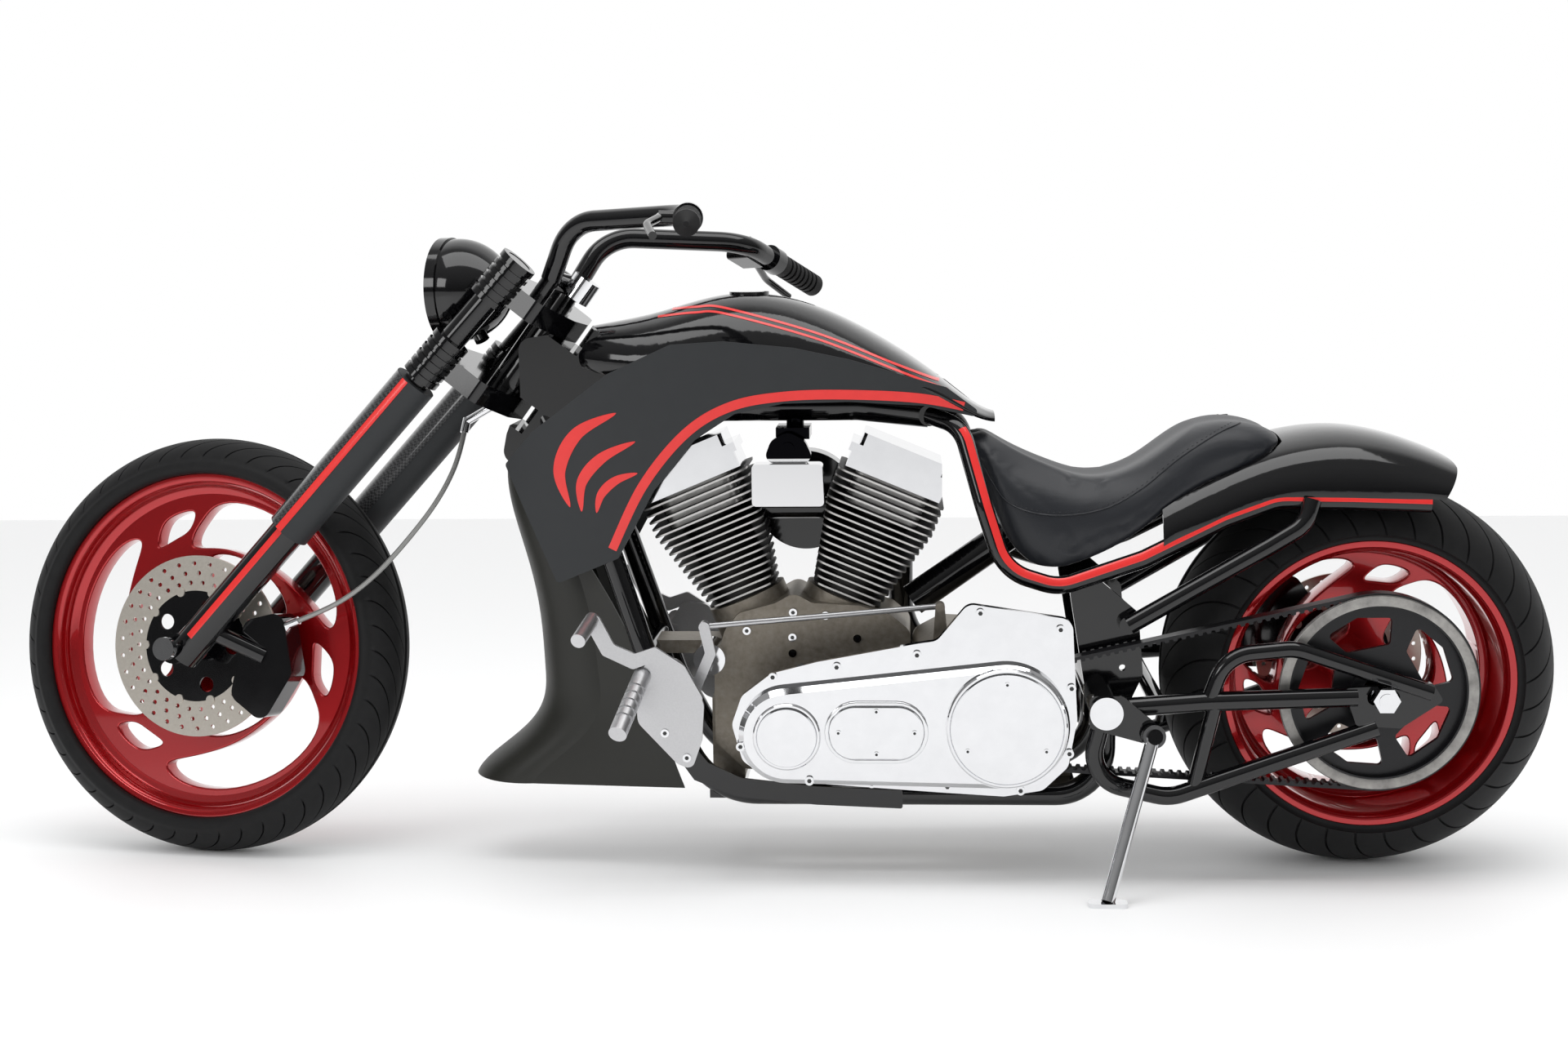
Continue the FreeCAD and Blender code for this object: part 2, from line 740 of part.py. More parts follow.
seat_rail_shares = [(0.515, 0.885, 0.36), (0.478, 0.868, 0.62), (0.452, 0.72, 0.9), (0.428, 0.60, 1.0),
                    (0.365, 0.568, 1.0), (0.267, 0.622, 1.0), (0.174, 0.697, 1.0), (0.115, 0.732, 1.0),
                    (0.03, 0.73, 1.0), (-0.06, 0.725, 1.0)]


def seat_rail(sign):
    points = [place(a, b, sign * seat_rail_half_width * c) for a, b, c in seat_rail_shares]
    rail = tube(points, seat_rail_radius, frame_bend * 0.6)
    strut_points = [place(0.285, 0.50, sign * strut_offset), place(0.125, 0.65, sign * strut_offset),
                    place(0.085, 0.69, sign * strut_offset),
                    place(0.076, 0.735, sign * (seat_rail_half_width + seat_rail_radius))]
    strut = tube(strut_points, strut_radius, frame_bend * 0.5)
    foot = rod(strut_points[0] - side * (sign * (strut_offset - pivot_plate_offset)), strut_points[0], strut_radius)
    return fused(rail, strut, foot)


seat_rails = both(seat_rail(-1).cut(frame_backbone).cut(frame_cradle))

# Swingarm: a triangulated arm on each side of the tyre, bolted to the pivot
nut_circle = axle_radius * 1.75
boss_proud = 1.2
loop_radius = 13.5
brace_radius = 15.0
upright_radius = 12.5
dropout = 52.0
dropout_thickness = 14.0
arm_face = swingarm_offset + swingarm_radius + boss_proud


def arm_tube(shares, y, radius=swingarm_radius, bend=frame_bend * 0.6):
    return tube(places(shares, y), radius, bend)


def swingarm_side(sign):
    y = sign * swingarm_offset
    main = tube([V(pivot_x, y, pivot_height), place(0.20, 0.368, y), V(-dropout * 0.8, y, rear_tyre_radius)],
                swingarm_radius, frame_bend)
    loop = arm_tube([(0.198, 0.364), (0.178, 0.455), (0.10, 0.468), (-0.055, 0.385)], y, loop_radius)
    low = tube([V(pivot_x, y, pivot_height), place(0.335, 0.22, y), place(0.24, 0.185, y), place(0.006, 0.32, y)],
               brace_radius, frame_bend * 0.6)
    strut = rod(place(0.190, 0.36, y), place(0.212, 0.205, y), upright_radius)
    plate_points = [place(0.045, 0.395), place(-0.055, 0.405), place(-0.068, 0.372), place(-0.02, 0.32),
                    place(0.03, 0.325)]
    plate = side_plate(plate_points, window_corner, y - dropout_thickness / 2, y + dropout_thickness / 2)
    near = sign * (pivot_plate_offset + seat_gap)
    far = sign * arm_face
    boss = disc_of(pivot_boss_radius, min(near, far), max(near, far), pivot_centre)
    arm = fused(main, loop, low, strut, plate, boss)
    slot = side_plate([V(-dropout / 2, 0, rear_tyre_radius - axle_radius), V(dropout / 2, 0, rear_tyre_radius - axle_radius),
                       V(dropout / 2, 0, rear_tyre_radius + axle_radius), V(-dropout / 2, 0, rear_tyre_radius + axle_radius)],
                      axle_radius * 0.95, y - dropout, y + dropout)
    return arm.cut(slot).cut(disc_of(pivot_shaft_radius, -span, span, pivot_centre))


swingarm_left = swingarm_side(-1)
swingarm_right = swingarm_side(1)
bridge_at = V(pivot_x + pivot_boss_radius * 3.5, 0, pivot_height + pivot_boss_radius * 0.28)
bridge_reach = swingarm_offset - swingarm_radius * 0.8
swingarm_bridge = rod(bridge_at - side * bridge_reach, bridge_at + side * bridge_reach, swingarm_radius * 0.85)
swingarm_bridge = swingarm_bridge.cut(swingarm_left).cut(swingarm_right)

pivot_face = arm_face + stand_plate + seat_gap
pivot_end = pivot_face + pivot_shaft_radius
pivot_cap = disc_of(pivot_cap_radius, -pivot_end, -pivot_face, pivot_centre)
pivot_washer = ring(pivot_cap_radius * 0.85, pivot_shaft_radius, arm_face, pivot_face, pivot_centre)
pivot_shaft = fused(disc_of(pivot_shaft_radius, -pivot_end, pivot_end, pivot_centre), pivot_cap, mirrored(pivot_cap),
                    pivot_washer)

rear_axle_end = swingarm_offset + swingarm_radius + axle_radius * 1.6
rear_axle_rod = disc_of(axle_radius, -rear_axle_end, rear_axle_end, rear_axle)


def hex_nut(centre, low, high, circle):
    points = [polar(centre, circle, 60 * i, low) for i in range(6)]
    return Part.Face(Part.makePolygon(points + points[:1])).extrude(side * (high - low))


nut_low = swingarm_offset + dropout_thickness / 2
rear_nut = hex_nut(rear_axle, nut_low, nut_low + axle_radius * 2.2, nut_circle)
rear_axle_rod = fused(rear_axle_rod, rear_nut, mirrored(rear_nut))
spacer_inner = rear_hub_width / 2 + seat_gap
rear_spacers = [ring(axle_radius * 1.6, axle_radius, low, high, rear_axle)
                for sign, low, high in ((1, spacer_inner, swingarm_offset - dropout_thickness / 2),
                                        (-1, -swingarm_offset + dropout_thickness / 2, -belt_offset - belt_width / 2 - rim_lip - 2 * seat_gap))]
rear_axle_rod = fused(rear_axle_rod, *rear_spacers).cut(swingarm_left).cut(swingarm_right)

# Engine: a forty-five degree V-twin with finned barrels


def cylinder_axis(sign):
    turn = math.radians(cylinder_angle_deg)
    return V(sign * math.sin(turn), 0, math.cos(turn))


def cylinder_out(sign):
    turn = math.radians(cylinder_angle_deg)
    return V(sign * math.cos(turn), 0, -math.sin(turn))


def fin_plate(sign, up_barrel, half, thickness, corner=fin_corner):
    centre = crank + cylinder_axis(sign) * up_barrel
    out = cylinder_out(sign) * half
    across = side * half
    points = [centre - out - across, centre + out - across, centre + out + across, centre - out + across]
    return slab(rounded_loop(points, corner), cylinder_axis(sign) * thickness)


def v_side(sign):
    """the half space on one side of the plane between the cylinders"""
    size = span
    corner = V(crank.x + v_gap / 2, -size / 2, 0) if sign > 0 else V(crank.x - v_gap / 2 - size, -size / 2, 0)
    return Part.makeBox(size, size, size, corner)


def cylinder(sign):
    axis = cylinder_axis(sign)
    top = deck_height + fin_count * fin_pitch
    barrel = Part.makeCylinder(barrel_radius, top - deck_height, crank + axis * deck_height, axis)
    pieces = [barrel]
    for i in range(fin_count):
        half = fin_half_low + (fin_half_top - fin_half_low) * i / (fin_count - 1)
        pieces.append(fin_plate(sign, deck_height + fin_pitch * (i + 0.5), half, fin_thickness))
    head_block = fin_plate(sign, top - fin_pitch * 0.3, fin_half_top * 0.72, head_height + fin_pitch * 0.3)
    pieces.append(head_block)
    for i in range(4):
        pieces.append(fin_plate(sign, top + fin_pitch * (i + 0.5), fin_half_top, fin_thickness))
    return fused(*pieces).common(v_side(sign))


front_cylinder = cylinder(-1)
rear_cylinder = cylinder(1)


def rocker_box(sign):
    """three stacked covers over the valves"""
    start = deck_height + fin_count * fin_pitch + head_height
    layers = [(0.0, 0.42, 1.0), (0.42, 0.66, 1.06), (0.66, 1.0, 0.9)]
    pieces = []
    for low, high, share in layers:
        pieces.append(fin_plate(sign, start + rocker_height * low, rocker_half_width * share * 1.2,
                                rocker_height * (high - low), fin_corner))
    box = fused(*pieces)
    narrow = Part.makeBox(span, 2 * rocker_half_width, span * 2, V(-span * 1.5, -rocker_half_width, 0))
    return box.common(narrow).common(v_side(sign))


front_rocker_box = rocker_box(-1)
rear_rocker_box = rocker_box(1)

case_shares = [(0.762, 0.47), (0.745, 0.505), (0.70, 0.525), (0.678, 0.545), (0.656, 0.525), (0.60, 0.52),
               (0.56, 0.50), (0.538, 0.47), (0.54, 0.25), (0.57, 0.195), (0.74, 0.195), (0.775, 0.25), (0.775, 0.40)]
case_floor = rail_height + cross_plate_thickness / 2


def crankcase_piece():
    body = side_plate(places(case_shares), fin_corner, -case_half_width, case_half_width)
    for sign in (-1, 1):
        deck = Part.makeCylinder(barrel_radius * 1.25, deck_height, crank, cylinder_axis(sign))
        body = body.fuse(deck.common(v_side(sign)))
    foot = Part.makeBox(cross_plate, case_half_width * 1.4, rail_height,
                        V(-0.76 * span - cross_plate / 2, -case_half_width * 0.7, case_floor))
    lug = Part.makeBox(0.085 * span, case_half_width, tube_radius * 1.2,
                       V(front_cross.x, -case_half_width / 2, front_cross.z - tube_radius * 0.6))
    body = fused(body, foot, lug)
    return body.cut(frame_cradle).cut(front_cylinder).cut(rear_cylinder)


crankcase = crankcase_piece()

filter_radius = 27.0
filter_reach = 112.0
oil_filter = disc_of(filter_radius, -filter_reach, -case_half_width / 2, place(0.779, 0.42)).cut(crankcase)

gearbox_shares = [(0.535, 0.44), (0.50, 0.47), (0.38, 0.46), (0.36, 0.40), (0.36, 0.215), (0.40, 0.20),
                  (0.50, 0.20), (0.535, 0.24)]
gearbox_half_width = 118.0
shift_pin_radius = 8.0


def gearbox_piece():
    body = side_plate(places(gearbox_shares), fin_corner, -gearbox_half_width, case_half_width)
    foot = Part.makeBox(cross_plate * 0.8, case_half_width, rail_height,
                        V(-0.36 * span - cross_plate * 0.4, -case_half_width * 0.5, case_floor))
    shaft = disc_of(hub_radius * 0.8, -belt_offset + belt_width / 2 + rim_lip, -gearbox_half_width, sprocket)
    shift_pin = disc_of(shift_pin_radius, -gearbox_half_width - overrun * 2, -gearbox_half_width + overrun * 3,
                        place(0.503, 0.525))
    shift_arm = side_plate(places([(0.508, 0.53), (0.498, 0.53), (0.492, 0.44), (0.512, 0.44)]), overrun,
                           -gearbox_half_width + overrun, -gearbox_half_width + overrun * 3)
    return fused(body, foot, shaft, shift_pin, shift_arm).cut(frame_cradle).cut(crankcase)


gearbox = gearbox_piece()
post_radius = 28.0
frame_post = rod(place(0.42, 0.645), place(0.535, 0.515), post_radius)

primary_shares = [(0.747, 0.32), (0.735, 0.375), (0.70, 0.418), (0.647, 0.44), (0.53, 0.475), (0.508, 0.48),
                  (0.472, 0.55), (0.352, 0.52), (0.346, 0.33), (0.356, 0.24), (0.385, 0.195), (0.43, 0.183),
                  (0.50, 0.19), (0.66, 0.208), (0.705, 0.215), (0.735, 0.25)]

derby_step = 6.0
primary_ease = 9.0
front_lobe_radius = 80.0


def primary_body():
    """the chrome cover, a shallow dish whose edges are stepped in"""
    rim = side_plate(places(primary_shares), fin_corner, -primary_inner - primary_plate * 2.6,
                     -primary_inner - primary_plate - seat_gap)
    foot = -primary_inner - primary_plate * 2
    brow = -primary_outer + derby_step + primary_ease
    front_lobe = place(0.682, 0.303)
    low = round_loop(sprocket, derby_radius * 1.14, front_lobe, front_lobe_radius)
    high = round_loop(sprocket, derby_radius * 1.14 - primary_ease, front_lobe, front_lobe_radius - primary_ease)
    low.translate(side * brow)
    high.translate(side * (brow - primary_ease))
    eased = Part.makeLoft([low, high], True, True)
    raised = slab(low, side * (foot - brow))
    front_boss = disc_of(derby_radius * 0.53, -primary_outer - derby_step / 2, foot, front_lobe)
    clutch = disc_of(derby_radius * 1.1, -primary_outer, foot, sprocket)
    derby = disc_of(derby_radius, -primary_outer - derby_step, -primary_outer, sprocket)
    window_points = places([(0.632, 0.361), (0.632, 0.264), (0.524, 0.264), (0.524, 0.361)])
    inspection = side_plate(window_points, front_lobe_radius, -primary_outer - derby_step / 3, foot)
    return fused(rim, raised, eased, front_boss, clutch, derby, inspection)


primary_cover = primary_body()
inner_primary_plate = side_plate(places(primary_shares), fin_corner, -primary_inner - primary_plate, -primary_inner)
snout = disc_of(derby_radius * 0.75, -primary_inner, -case_half_width, place(0.682, 0.303))
inner_primary = fused(inner_primary_plate, snout)


# Coil block and key switch between the cylinders on the left
coil_low = 92.0
coil_high = 138.0


def coil_piece():
    block = side_plate(places([(0.724, 0.802), (0.641, 0.802), (0.639, 0.722), (0.724, 0.722)]), window_corner,
                       -coil_high, -coil_low)
    bracket = side_plate(places([(0.712, 0.802), (0.702, 0.845), (0.682, 0.862), (0.662, 0.845), (0.650, 0.802)]),
                         fin_corner, -coil_low * 1.25, -coil_low)
    arm = Part.makeBox(span * 0.04, coil_low, tube_radius, place(0.697, 0.845, -coil_low))
    hanger = rod(place(0.677, 0.862, 0), place(0.677, 0.895, 0), tube_radius * 0.8)
    lock = disc_of(window_corner * 1.6, -coil_low * 1.25 - rim_lip, -coil_low, place(0.682, 0.829))
    return fused(block, bracket, arm, hanger, lock).cut(frame_backbone).cut(front_rocker_box).cut(rear_rocker_box)


coil_block = coil_piece()

# Right side: cam cover, air cleaner and exhaust
cam_cover_depth = 34.0
cam_shares = [(0.735, 0.40), (0.70, 0.44), (0.66, 0.44), (0.63, 0.40), (0.64, 0.27), (0.68, 0.22), (0.73, 0.25)]
cam_cover = side_plate(places(cam_shares), fin_corner, case_half_width, case_half_width + cam_cover_depth)
air_centre = place(0.668, 0.70)
air_radius = 88.0
air_depth = 62.0
air_offset = 100.0
air_cleaner = disc_of(air_radius, air_offset + seat_gap, air_offset + air_depth, air_centre)
intake = rod(V(air_centre.x, 0, air_centre.z), V(air_centre.x, air_offset + overrun, air_centre.z), tube_radius)
manifold_reach = V(fin_half_top, 0, 0)
manifold_middle = V(crank.x, 0, air_centre.z)
manifold = rod(manifold_middle - manifold_reach, manifold_middle + manifold_reach, tube_radius)
air_cleaner = fused(air_cleaner, intake, manifold).cut(front_cylinder).cut(rear_cylinder)
pipe_radius = 22.0
muffler_radius = 44.0
pipe_offset = 138.0


def exhaust_piece():
    front_pipe = tube([place(0.78, 0.70, fin_half_top), place(0.78, 0.70, pipe_offset), place(0.765, 0.36, pipe_offset * 1.2),
                       place(0.70, 0.30, pipe_offset * 1.28), place(0.42, 0.29, pipe_offset * 1.28)], pipe_radius, frame_bend)
    rear_pipe = tube([place(0.55, 0.70, fin_half_top), place(0.55, 0.70, pipe_offset), place(0.55, 0.42, pipe_offset * 1.2),
                      place(0.46, 0.30, pipe_offset * 1.28), place(0.42, 0.29, pipe_offset * 1.28)], pipe_radius, frame_bend)
    muffler = rod(place(0.47, 0.29, pipe_offset * 1.28), place(0.345, 0.29, pipe_offset * 1.28), muffler_radius)
    return fused(front_pipe, rear_pipe, muffler).cut(front_cylinder).cut(rear_cylinder)


exhaust = exhaust_piece()

# Tank: a long shell over the backbone
tank_station_shares = [
    # along the head's reach, top, bottom and half width as shares of the head's height
    (0.940, 1.050, 0.985, 0.06),
    (0.915, 1.062, 0.975, 0.09),
    (0.85, 1.082, 0.955, 0.125),
    (0.76, 1.118, 0.945, 0.15),
    (0.67, 1.105, 0.945, 0.16),
    (0.58, 1.04, 0.945, 0.15),
    (0.50, 0.953, 0.915, 0.12),
    (0.437, 0.888, 0.872, 0.06),
]


def tank_section(share):
    along, top, bottom, half = share
    tall = (top - bottom) * rise
    wide = half * rise
    low = place(along, bottom)
    points = [(0, 1.0), (0.42, 0.95), (0.8, 0.72), (1.0, 0.32), (0.92, 0.0)]
    right = [low + V(0, wide * y, tall * z) for y, z in points]
    left = [low + V(0, -wide * y, tall * z) for y, z in reversed(points)]
    arch = curve(left + right[1:])
    base = Part.makeLine(right[-1], left[0])
    return Part.Wire([arch, base])


tank_shell = Part.makeLoft([tank_section(share) for share in tank_station_shares], True, False)
shoulder_shares = [(0.915, 1.060), (0.969, 1.046), (1.006, 1.037), (1.005, 0.928), (1.023, 0.855), (1.030, 0.80),
                   (0.985, 0.79), (0.90, 0.90), (0.86, 0.97)]
shoulder_half_width = 62.0
shoulder = side_plate(places(shoulder_shares), fin_corner, -shoulder_half_width, shoulder_half_width)


# how far behind the stem the trees' rear edges come from lock to lock, with running room, and how far aside
turn_points = [(58.0, 0.0), (69.0, 52.0), (84.0, 130.0)]


def tree_turn(low, high):
    """the space that a tree's rear edge passes through"""
    ahead = -neck_radius * 3
    right = [stem_point(low, out, aside) for out, aside in turn_points]
    left = [stem_point(low, out, -aside) for out, aside in turn_points[1:]]
    ends = [stem_point(low, ahead, sign * turn_points[-1][1]) for sign in (1, -1)]
    points = right + ends + left[::-1]
    return slab(Part.makePolygon(points + points[:1]), stem_axis * (high - low))


upper_turn = tree_turn(neck_length / 2 - moving_gap, head_height_up_stem / 2)
lower_turn = tree_turn(-neck_length / 2 - tree_thickness - moving_gap, -neck_length / 2 + moving_gap)
tank_shell = tank_shell.fuse(shoulder).cut(frame_backbone).cut(frame_cradle).cut(upper_turn).cut(lower_turn)
tank_shell = max(tank_shell.Solids, key=lambda solid: solid.Volume)
cap_radius = 34.0
cap_height = 10.0
cap_at = place(0.731, 1.112)
fuel_cap = Part.makeCylinder(cap_radius, cap_height * 2, cap_at - up * cap_height, up).cut(tank_shell)

# Side panels: curved plates over the tank's flanks and down in front of the engine
panel_thickness = 5.0
panel_shares = [(1.021, 0.80), (0.958, 0.573), (0.883, 0.624), (0.839, 0.754), (0.79, 0.85), (0.742, 0.90),
                (0.685, 0.919), (0.609, 0.921), (0.523, 0.91), (0.442, 0.877), (0.495, 0.943), (0.608, 1.0),
                (0.673, 1.023), (0.755, 1.036), (0.818, 1.03), (0.893, 0.975), (0.985, 0.865)]
panel_plan_shares = [(1.03, 0.105), (0.95, 0.15), (0.85, 0.165), (0.75, 0.172), (0.62, 0.168), (0.52, 0.13), (0.43, 0.06)]


def side_panel(sign):
    outline = [place(a, b, 0) for a, b in panel_shares]
    tall = side_plate(outline, window_corner, min(0, sign * span / 3), max(0, sign * span / 3))
    outer = [V(-a * span, sign * b * rise, 0) for a, b in panel_plan_shares]
    inner = [V(-a * span, sign * (b * rise - panel_thickness), 0) for a, b in panel_plan_shares]
    band = Part.Wire([curve(outer), Part.makeLine(outer[-1], inner[-1]), curve(list(reversed(inner))),
                      Part.makeLine(inner[0], outer[0])])
    sheet = Part.Face(band).extrude(up * (rise * 1.3))
    return sheet.common(tall)


tank_panel_left = side_panel(-1)
tank_panel_right = side_panel(1)
tank_shell = tank_shell.cut(tank_panel_left).cut(tank_panel_right)

# Chin fairing: a hollow bow ahead of the frame tubes
fairing_wall = 4.0
chin_stations = [
    # height, front and rear along the reach, half width, all shares
    (0.79, 1.030, 0.985, 0.075),
    (0.66, 1.018, 0.945, 0.11),
    (0.50, 0.995, 0.885, 0.127),
    (0.385, 0.990, 0.855, 0.135),
    (0.30, 0.998, 0.838, 0.14),
    (0.235, 1.035, 0.825, 0.142),
    (0.170, 1.078, 0.81, 0.145),
]


def chin_section(share, inset, extra):
    height, front, rear, half = share
    nose = place(front, height) + V(inset, 0, 0)
    wide = half * rise - inset
    tail = -rear * span + extra
    shoulder = nose.x + wide * 0.9
    left = V(shoulder, -wide * 0.8, nose.z)
    right = V(shoulder, wide * 0.8, nose.z)
    corner_left = V(tail, -wide, nose.z)
    corner_right = V(tail, wide, nose.z)
    return Part.Wire([Part.Arc(left, nose, right).toShape(), Part.makeLine(right, corner_right),
                      Part.makeLine(corner_right, corner_left), Part.makeLine(corner_left, left)])


def chin_piece():
    outer = Part.makeLoft([chin_section(share, 0, 0) for share in chin_stations], True, False)
    inner = Part.makeLoft([chin_section(share, fairing_wall, overrun) for share in chin_stations], True, False)
    return outer.cut(inner)


chin_fairing = chin_piece().cut(frame_cradle).cut(frame_backbone).cut(tank_shell)

# Seat: a deep one-piece saddle on the rails
seat_station_shares = [
    (0.476, 0.862, 0.84, 0.045), (0.455, 0.852, 0.78, 0.10), (0.434, 0.838, 0.685, 0.13), (0.405, 0.812, 0.615, 0.15),
    (0.37, 0.787, 0.597, 0.16), (0.333, 0.768, 0.612, 0.165), (0.267, 0.790, 0.67, 0.165), (0.22, 0.842, 0.73, 0.16),
    (0.174, 0.874, 0.77, 0.155), (0.127, 0.868, 0.80, 0.14), (0.103, 0.848, 0.83, 0.10)]


def seat_section(share):
    along, top, bottom, half = share
    tall = (top - bottom) * rise
    wide = half * rise
    low = place(along, bottom)
    points = [(0, 0.94), (0.45, 0.97), (0.85, 0.8), (1.0, 0.45), (0.9, 0.0)]
    right = [low + V(0, wide * y, tall * z) for y, z in points]
    left = [low + V(0, -wide * y, tall * z) for y, z in reversed(points)]
    return Part.Wire([curve(left + right[1:]), Part.makeLine(right[-1], left[0])])


seat = Part.makeLoft([seat_section(share) for share in seat_station_shares], True, False)
seat = seat.cut(seat_rails).cut(frame_backbone).cut(frame_post).cut(tank_shell).cut(tank_panel_left).cut(tank_panel_right)

# Fender: a short arch over the wide tyre
fender_wall = 4.0
fender_stations = [(0.245, 0.75, 0.645), (0.20, 0.785, 0.68), (0.16, 0.815, 0.708), (0.102, 0.845, 0.735),
                   (0.04, 0.858, 0.735), (-0.02, 0.846, 0.735), (-0.06, 0.826, 0.735), (-0.094, 0.802, 0.735)]
fender_half_width = 164.0


def fender_section(share, inset):
    along, top, bottom = share
    tall = (top - bottom) * rise - inset
    wide = fender_half_width - inset
    low = place(along, bottom) - up * (inset and overrun)
    tall = tall + (inset and overrun)
    points = [(0, 1.0), (0.5, 0.93), (0.85, 0.66), (0.99, 0.25), (1.0, 0.0)]
    right = [low + V(0, wide * y, tall * z) for y, z in points]
    left = [low + V(0, -wide * y, tall * z) for y, z in reversed(points)]
    return Part.Wire([curve(left + right[1:]), Part.makeLine(right[-1], left[0])])


def fender_piece():
    outer = Part.makeLoft([fender_section(share, 0) for share in fender_stations], True, False)
    inner = Part.makeLoft([fender_section(share, fender_wall) for share in fender_stations], True, False)
    trim = side_plate([place(-0.098, 0.80), place(-0.064, 0.70), place(-0.2, 0.70), place(-0.2, 0.80)], overrun,
                      -fender_half_width * 1.2, fender_half_width * 1.2)
    return outer.cut(inner).cut(trim)


rear_fender = fender_piece().cut(seat_rails).cut(seat)

# Foot controls: a plate each side with a lever and a peg
control_offset = 262.0
control_plate = 8.0
peg_radius = 15.0
peg_length = 123.0
lever_width = 26.0
linkage_offset = 205.0
link_radius = 5.0
control_shares = [(0.856, 0.41), (0.837, 0.462), (0.803, 0.455), (0.776, 0.371), (0.779, 0.301), (0.791, 0.246),
                  (0.808, 0.257), (0.853, 0.335)]
lever_shares = [(0.905, 0.537), (0.885, 0.475), (0.856, 0.453), (0.833, 0.466), (0.805, 0.436), (0.783, 0.372)]
arm_shares = [(0.778, 0.505), (0.771, 0.455), (0.786, 0.40), (0.791, 0.377)]


def ribbon(points, width):
    """the outline of a flat bar that follows a path"""
    left = []
    right = []
    for i, point in enumerate(points):
        heading = points[min(i + 1, len(points) - 1)] - points[max(i - 1, 0)]
        heading.normalize()
        across = heading.cross(side) * (width / 2)
        left.append(point + across)
        right.append(point - across)
    return left + right[::-1]


def grooved_rod(start, end, radius):
    body = rod(start, end, radius)
    step = (end - start) * (1 / 8)
    for i in range(2, 7):
        low = start + step * i
        groove = rod(low, low + step * 0.35, radius + overrun)
        body = body.cut(groove.cut(rod(low, low + step * 0.35, radius * 0.86)))
    return body


def foot_control(sign):
    outer = sign * control_offset
    inner = sign * (control_offset - control_plate)
    plate = side_plate(places(control_shares), fin_corner, min(outer, inner), max(outer, inner))
    posts = [disc_of(peg_radius * 0.7, min(inner, sign * near), max(inner, sign * near), place(a, b))
             for a, b, near in ((0.825, 0.31, skid_face - overrun / 2), (0.842, 0.385, rail_half_width + tube_radius / 2))]
    lever_low = sign * (control_offset + control_plate)
    lever = side_plate(ribbon(places(lever_shares), lever_width), peg_radius * 0.6, min(outer, lever_low),
                       max(outer, lever_low))
    toe = rod(place(0.903, 0.532, outer), place(0.912, 0.507, sign * (control_offset + peg_length * 0.62)),
              peg_radius * 0.8)
    peg_root = place(0.847, 0.425, outer - sign * overrun / 2)
    peg = grooved_rod(peg_root, place(0.865, 0.347, sign * (control_offset + peg_length)), peg_radius)
    return fused(plate, *posts, lever, toe, peg).cut(frame_cradle).cut(chin_fairing)


def shift_linkage():
    """the arm inside the left plate and the long rod from it to the gearbox"""
    outer = -control_offset + control_plate
    arm = side_plate(ribbon(places(arm_shares), lever_width * 0.7), peg_radius * 0.5, -linkage_offset - control_plate,
                     -linkage_offset)
    shaft = disc_of(peg_radius * 0.7, outer, -linkage_offset, place(*arm_shares[-1]))
    link = rod(place(*arm_shares[0], -linkage_offset + overrun), place(0.503, 0.525, -gearbox_half_width + overrun),
               link_radius)
    ball = disc_of(link_radius * 1.8, -linkage_offset - control_plate, -linkage_offset + link_radius * 2,
                   place(*arm_shares[0]))
    return [arm, shaft, link, ball]


left_control = fused(foot_control(-1), *shift_linkage())
left_foot_control = left_control.cut(gearbox)
right_foot_control = foot_control(1)

# Calipers
caliper_shares = [(0.74, -34), (1.22, -30), (1.28, 0), (1.2, 32), (0.74, 36)]


def caliper(centre, low, high, turn_deg, reach):
    points = [polar(centre, reach * r, turn_deg + a) for r, a in caliper_shares]
    body = side_plate(points, fin_corner, low, high)
    return body


disc_gap = 1.5
caliper_out = 24.0
caliper_in = 20.0
caliper_arm_up = 60.0
rear_bracket_plate = 8.0
front_caliper_body = caliper(front_axle, -front_disc_offset - disc_thickness - caliper_out,
                             -front_disc_offset + caliper_in, -12, front_disc_radius)
slot_ring = ring(front_disc_radius + overrun * 2, hub_radius * 0.5, -front_disc_offset - disc_thickness - disc_gap,
                 -front_disc_offset + disc_gap, front_axle)
front_caliper_body = front_caliper_body.cut(slot_ring)
arm_root = polar(front_axle, front_disc_radius * 0.9, -5, -front_disc_offset - disc_thickness - caliper_out * 0.67)
caliper_arm = rod(leg_point(caliper_arm_up, -fork_half_width), arm_root, peg_radius)
front_button_sweep = disc_of(disc_button_circle + disc_button_radius + moving_gap,
                             -front_disc_offset - disc_thickness * 3, 0, front_axle)
front_caliper = fused(front_caliper_body, caliper_arm).cut(fork_sliders).cut(front_button_sweep)
rear_low = rear_disc_offset
rear_caliper_face = rear_low + disc_thickness + caliper_out
rear_caliper_body = caliper(rear_axle, rear_low - caliper_in, rear_caliper_face, 150, rear_disc_radius)
rear_slot = ring(rear_disc_radius + overrun * 2, hub_radius * 0.5, rear_low - disc_gap, rear_low + disc_thickness + disc_gap, rear_axle)
rear_button_sweep = disc_of(disc_button_circle + disc_button_radius, 0, rear_low + disc_thickness * 3, rear_axle)
rear_caliper_body = rear_caliper_body.cut(rear_slot).cut(rear_button_sweep)

anchor = V(-rear_disc_radius * 1.35, 0, rear_tyre_radius - axle_radius * 0.4)
bracket_points = [polar(rear_axle, rear_disc_radius * r, a) for r, a in
                  ((0.24, 60), (0.98, 128), (1.1, 150), (1.46, 176), (1.46, 188), (0.24, 300), (0.24, 0))]
rear_bracket = side_plate(bracket_points, axle_radius, rear_caliper_face, rear_caliper_face + rear_bracket_plate)
anchor_pin = disc_of(peg_radius * 0.6, rear_caliper_face, swingarm_offset, anchor)
rear_caliper = fused(rear_caliper_body, rear_bracket, anchor_pin).cut(rear_axle_rod).cut(swingarm_right)

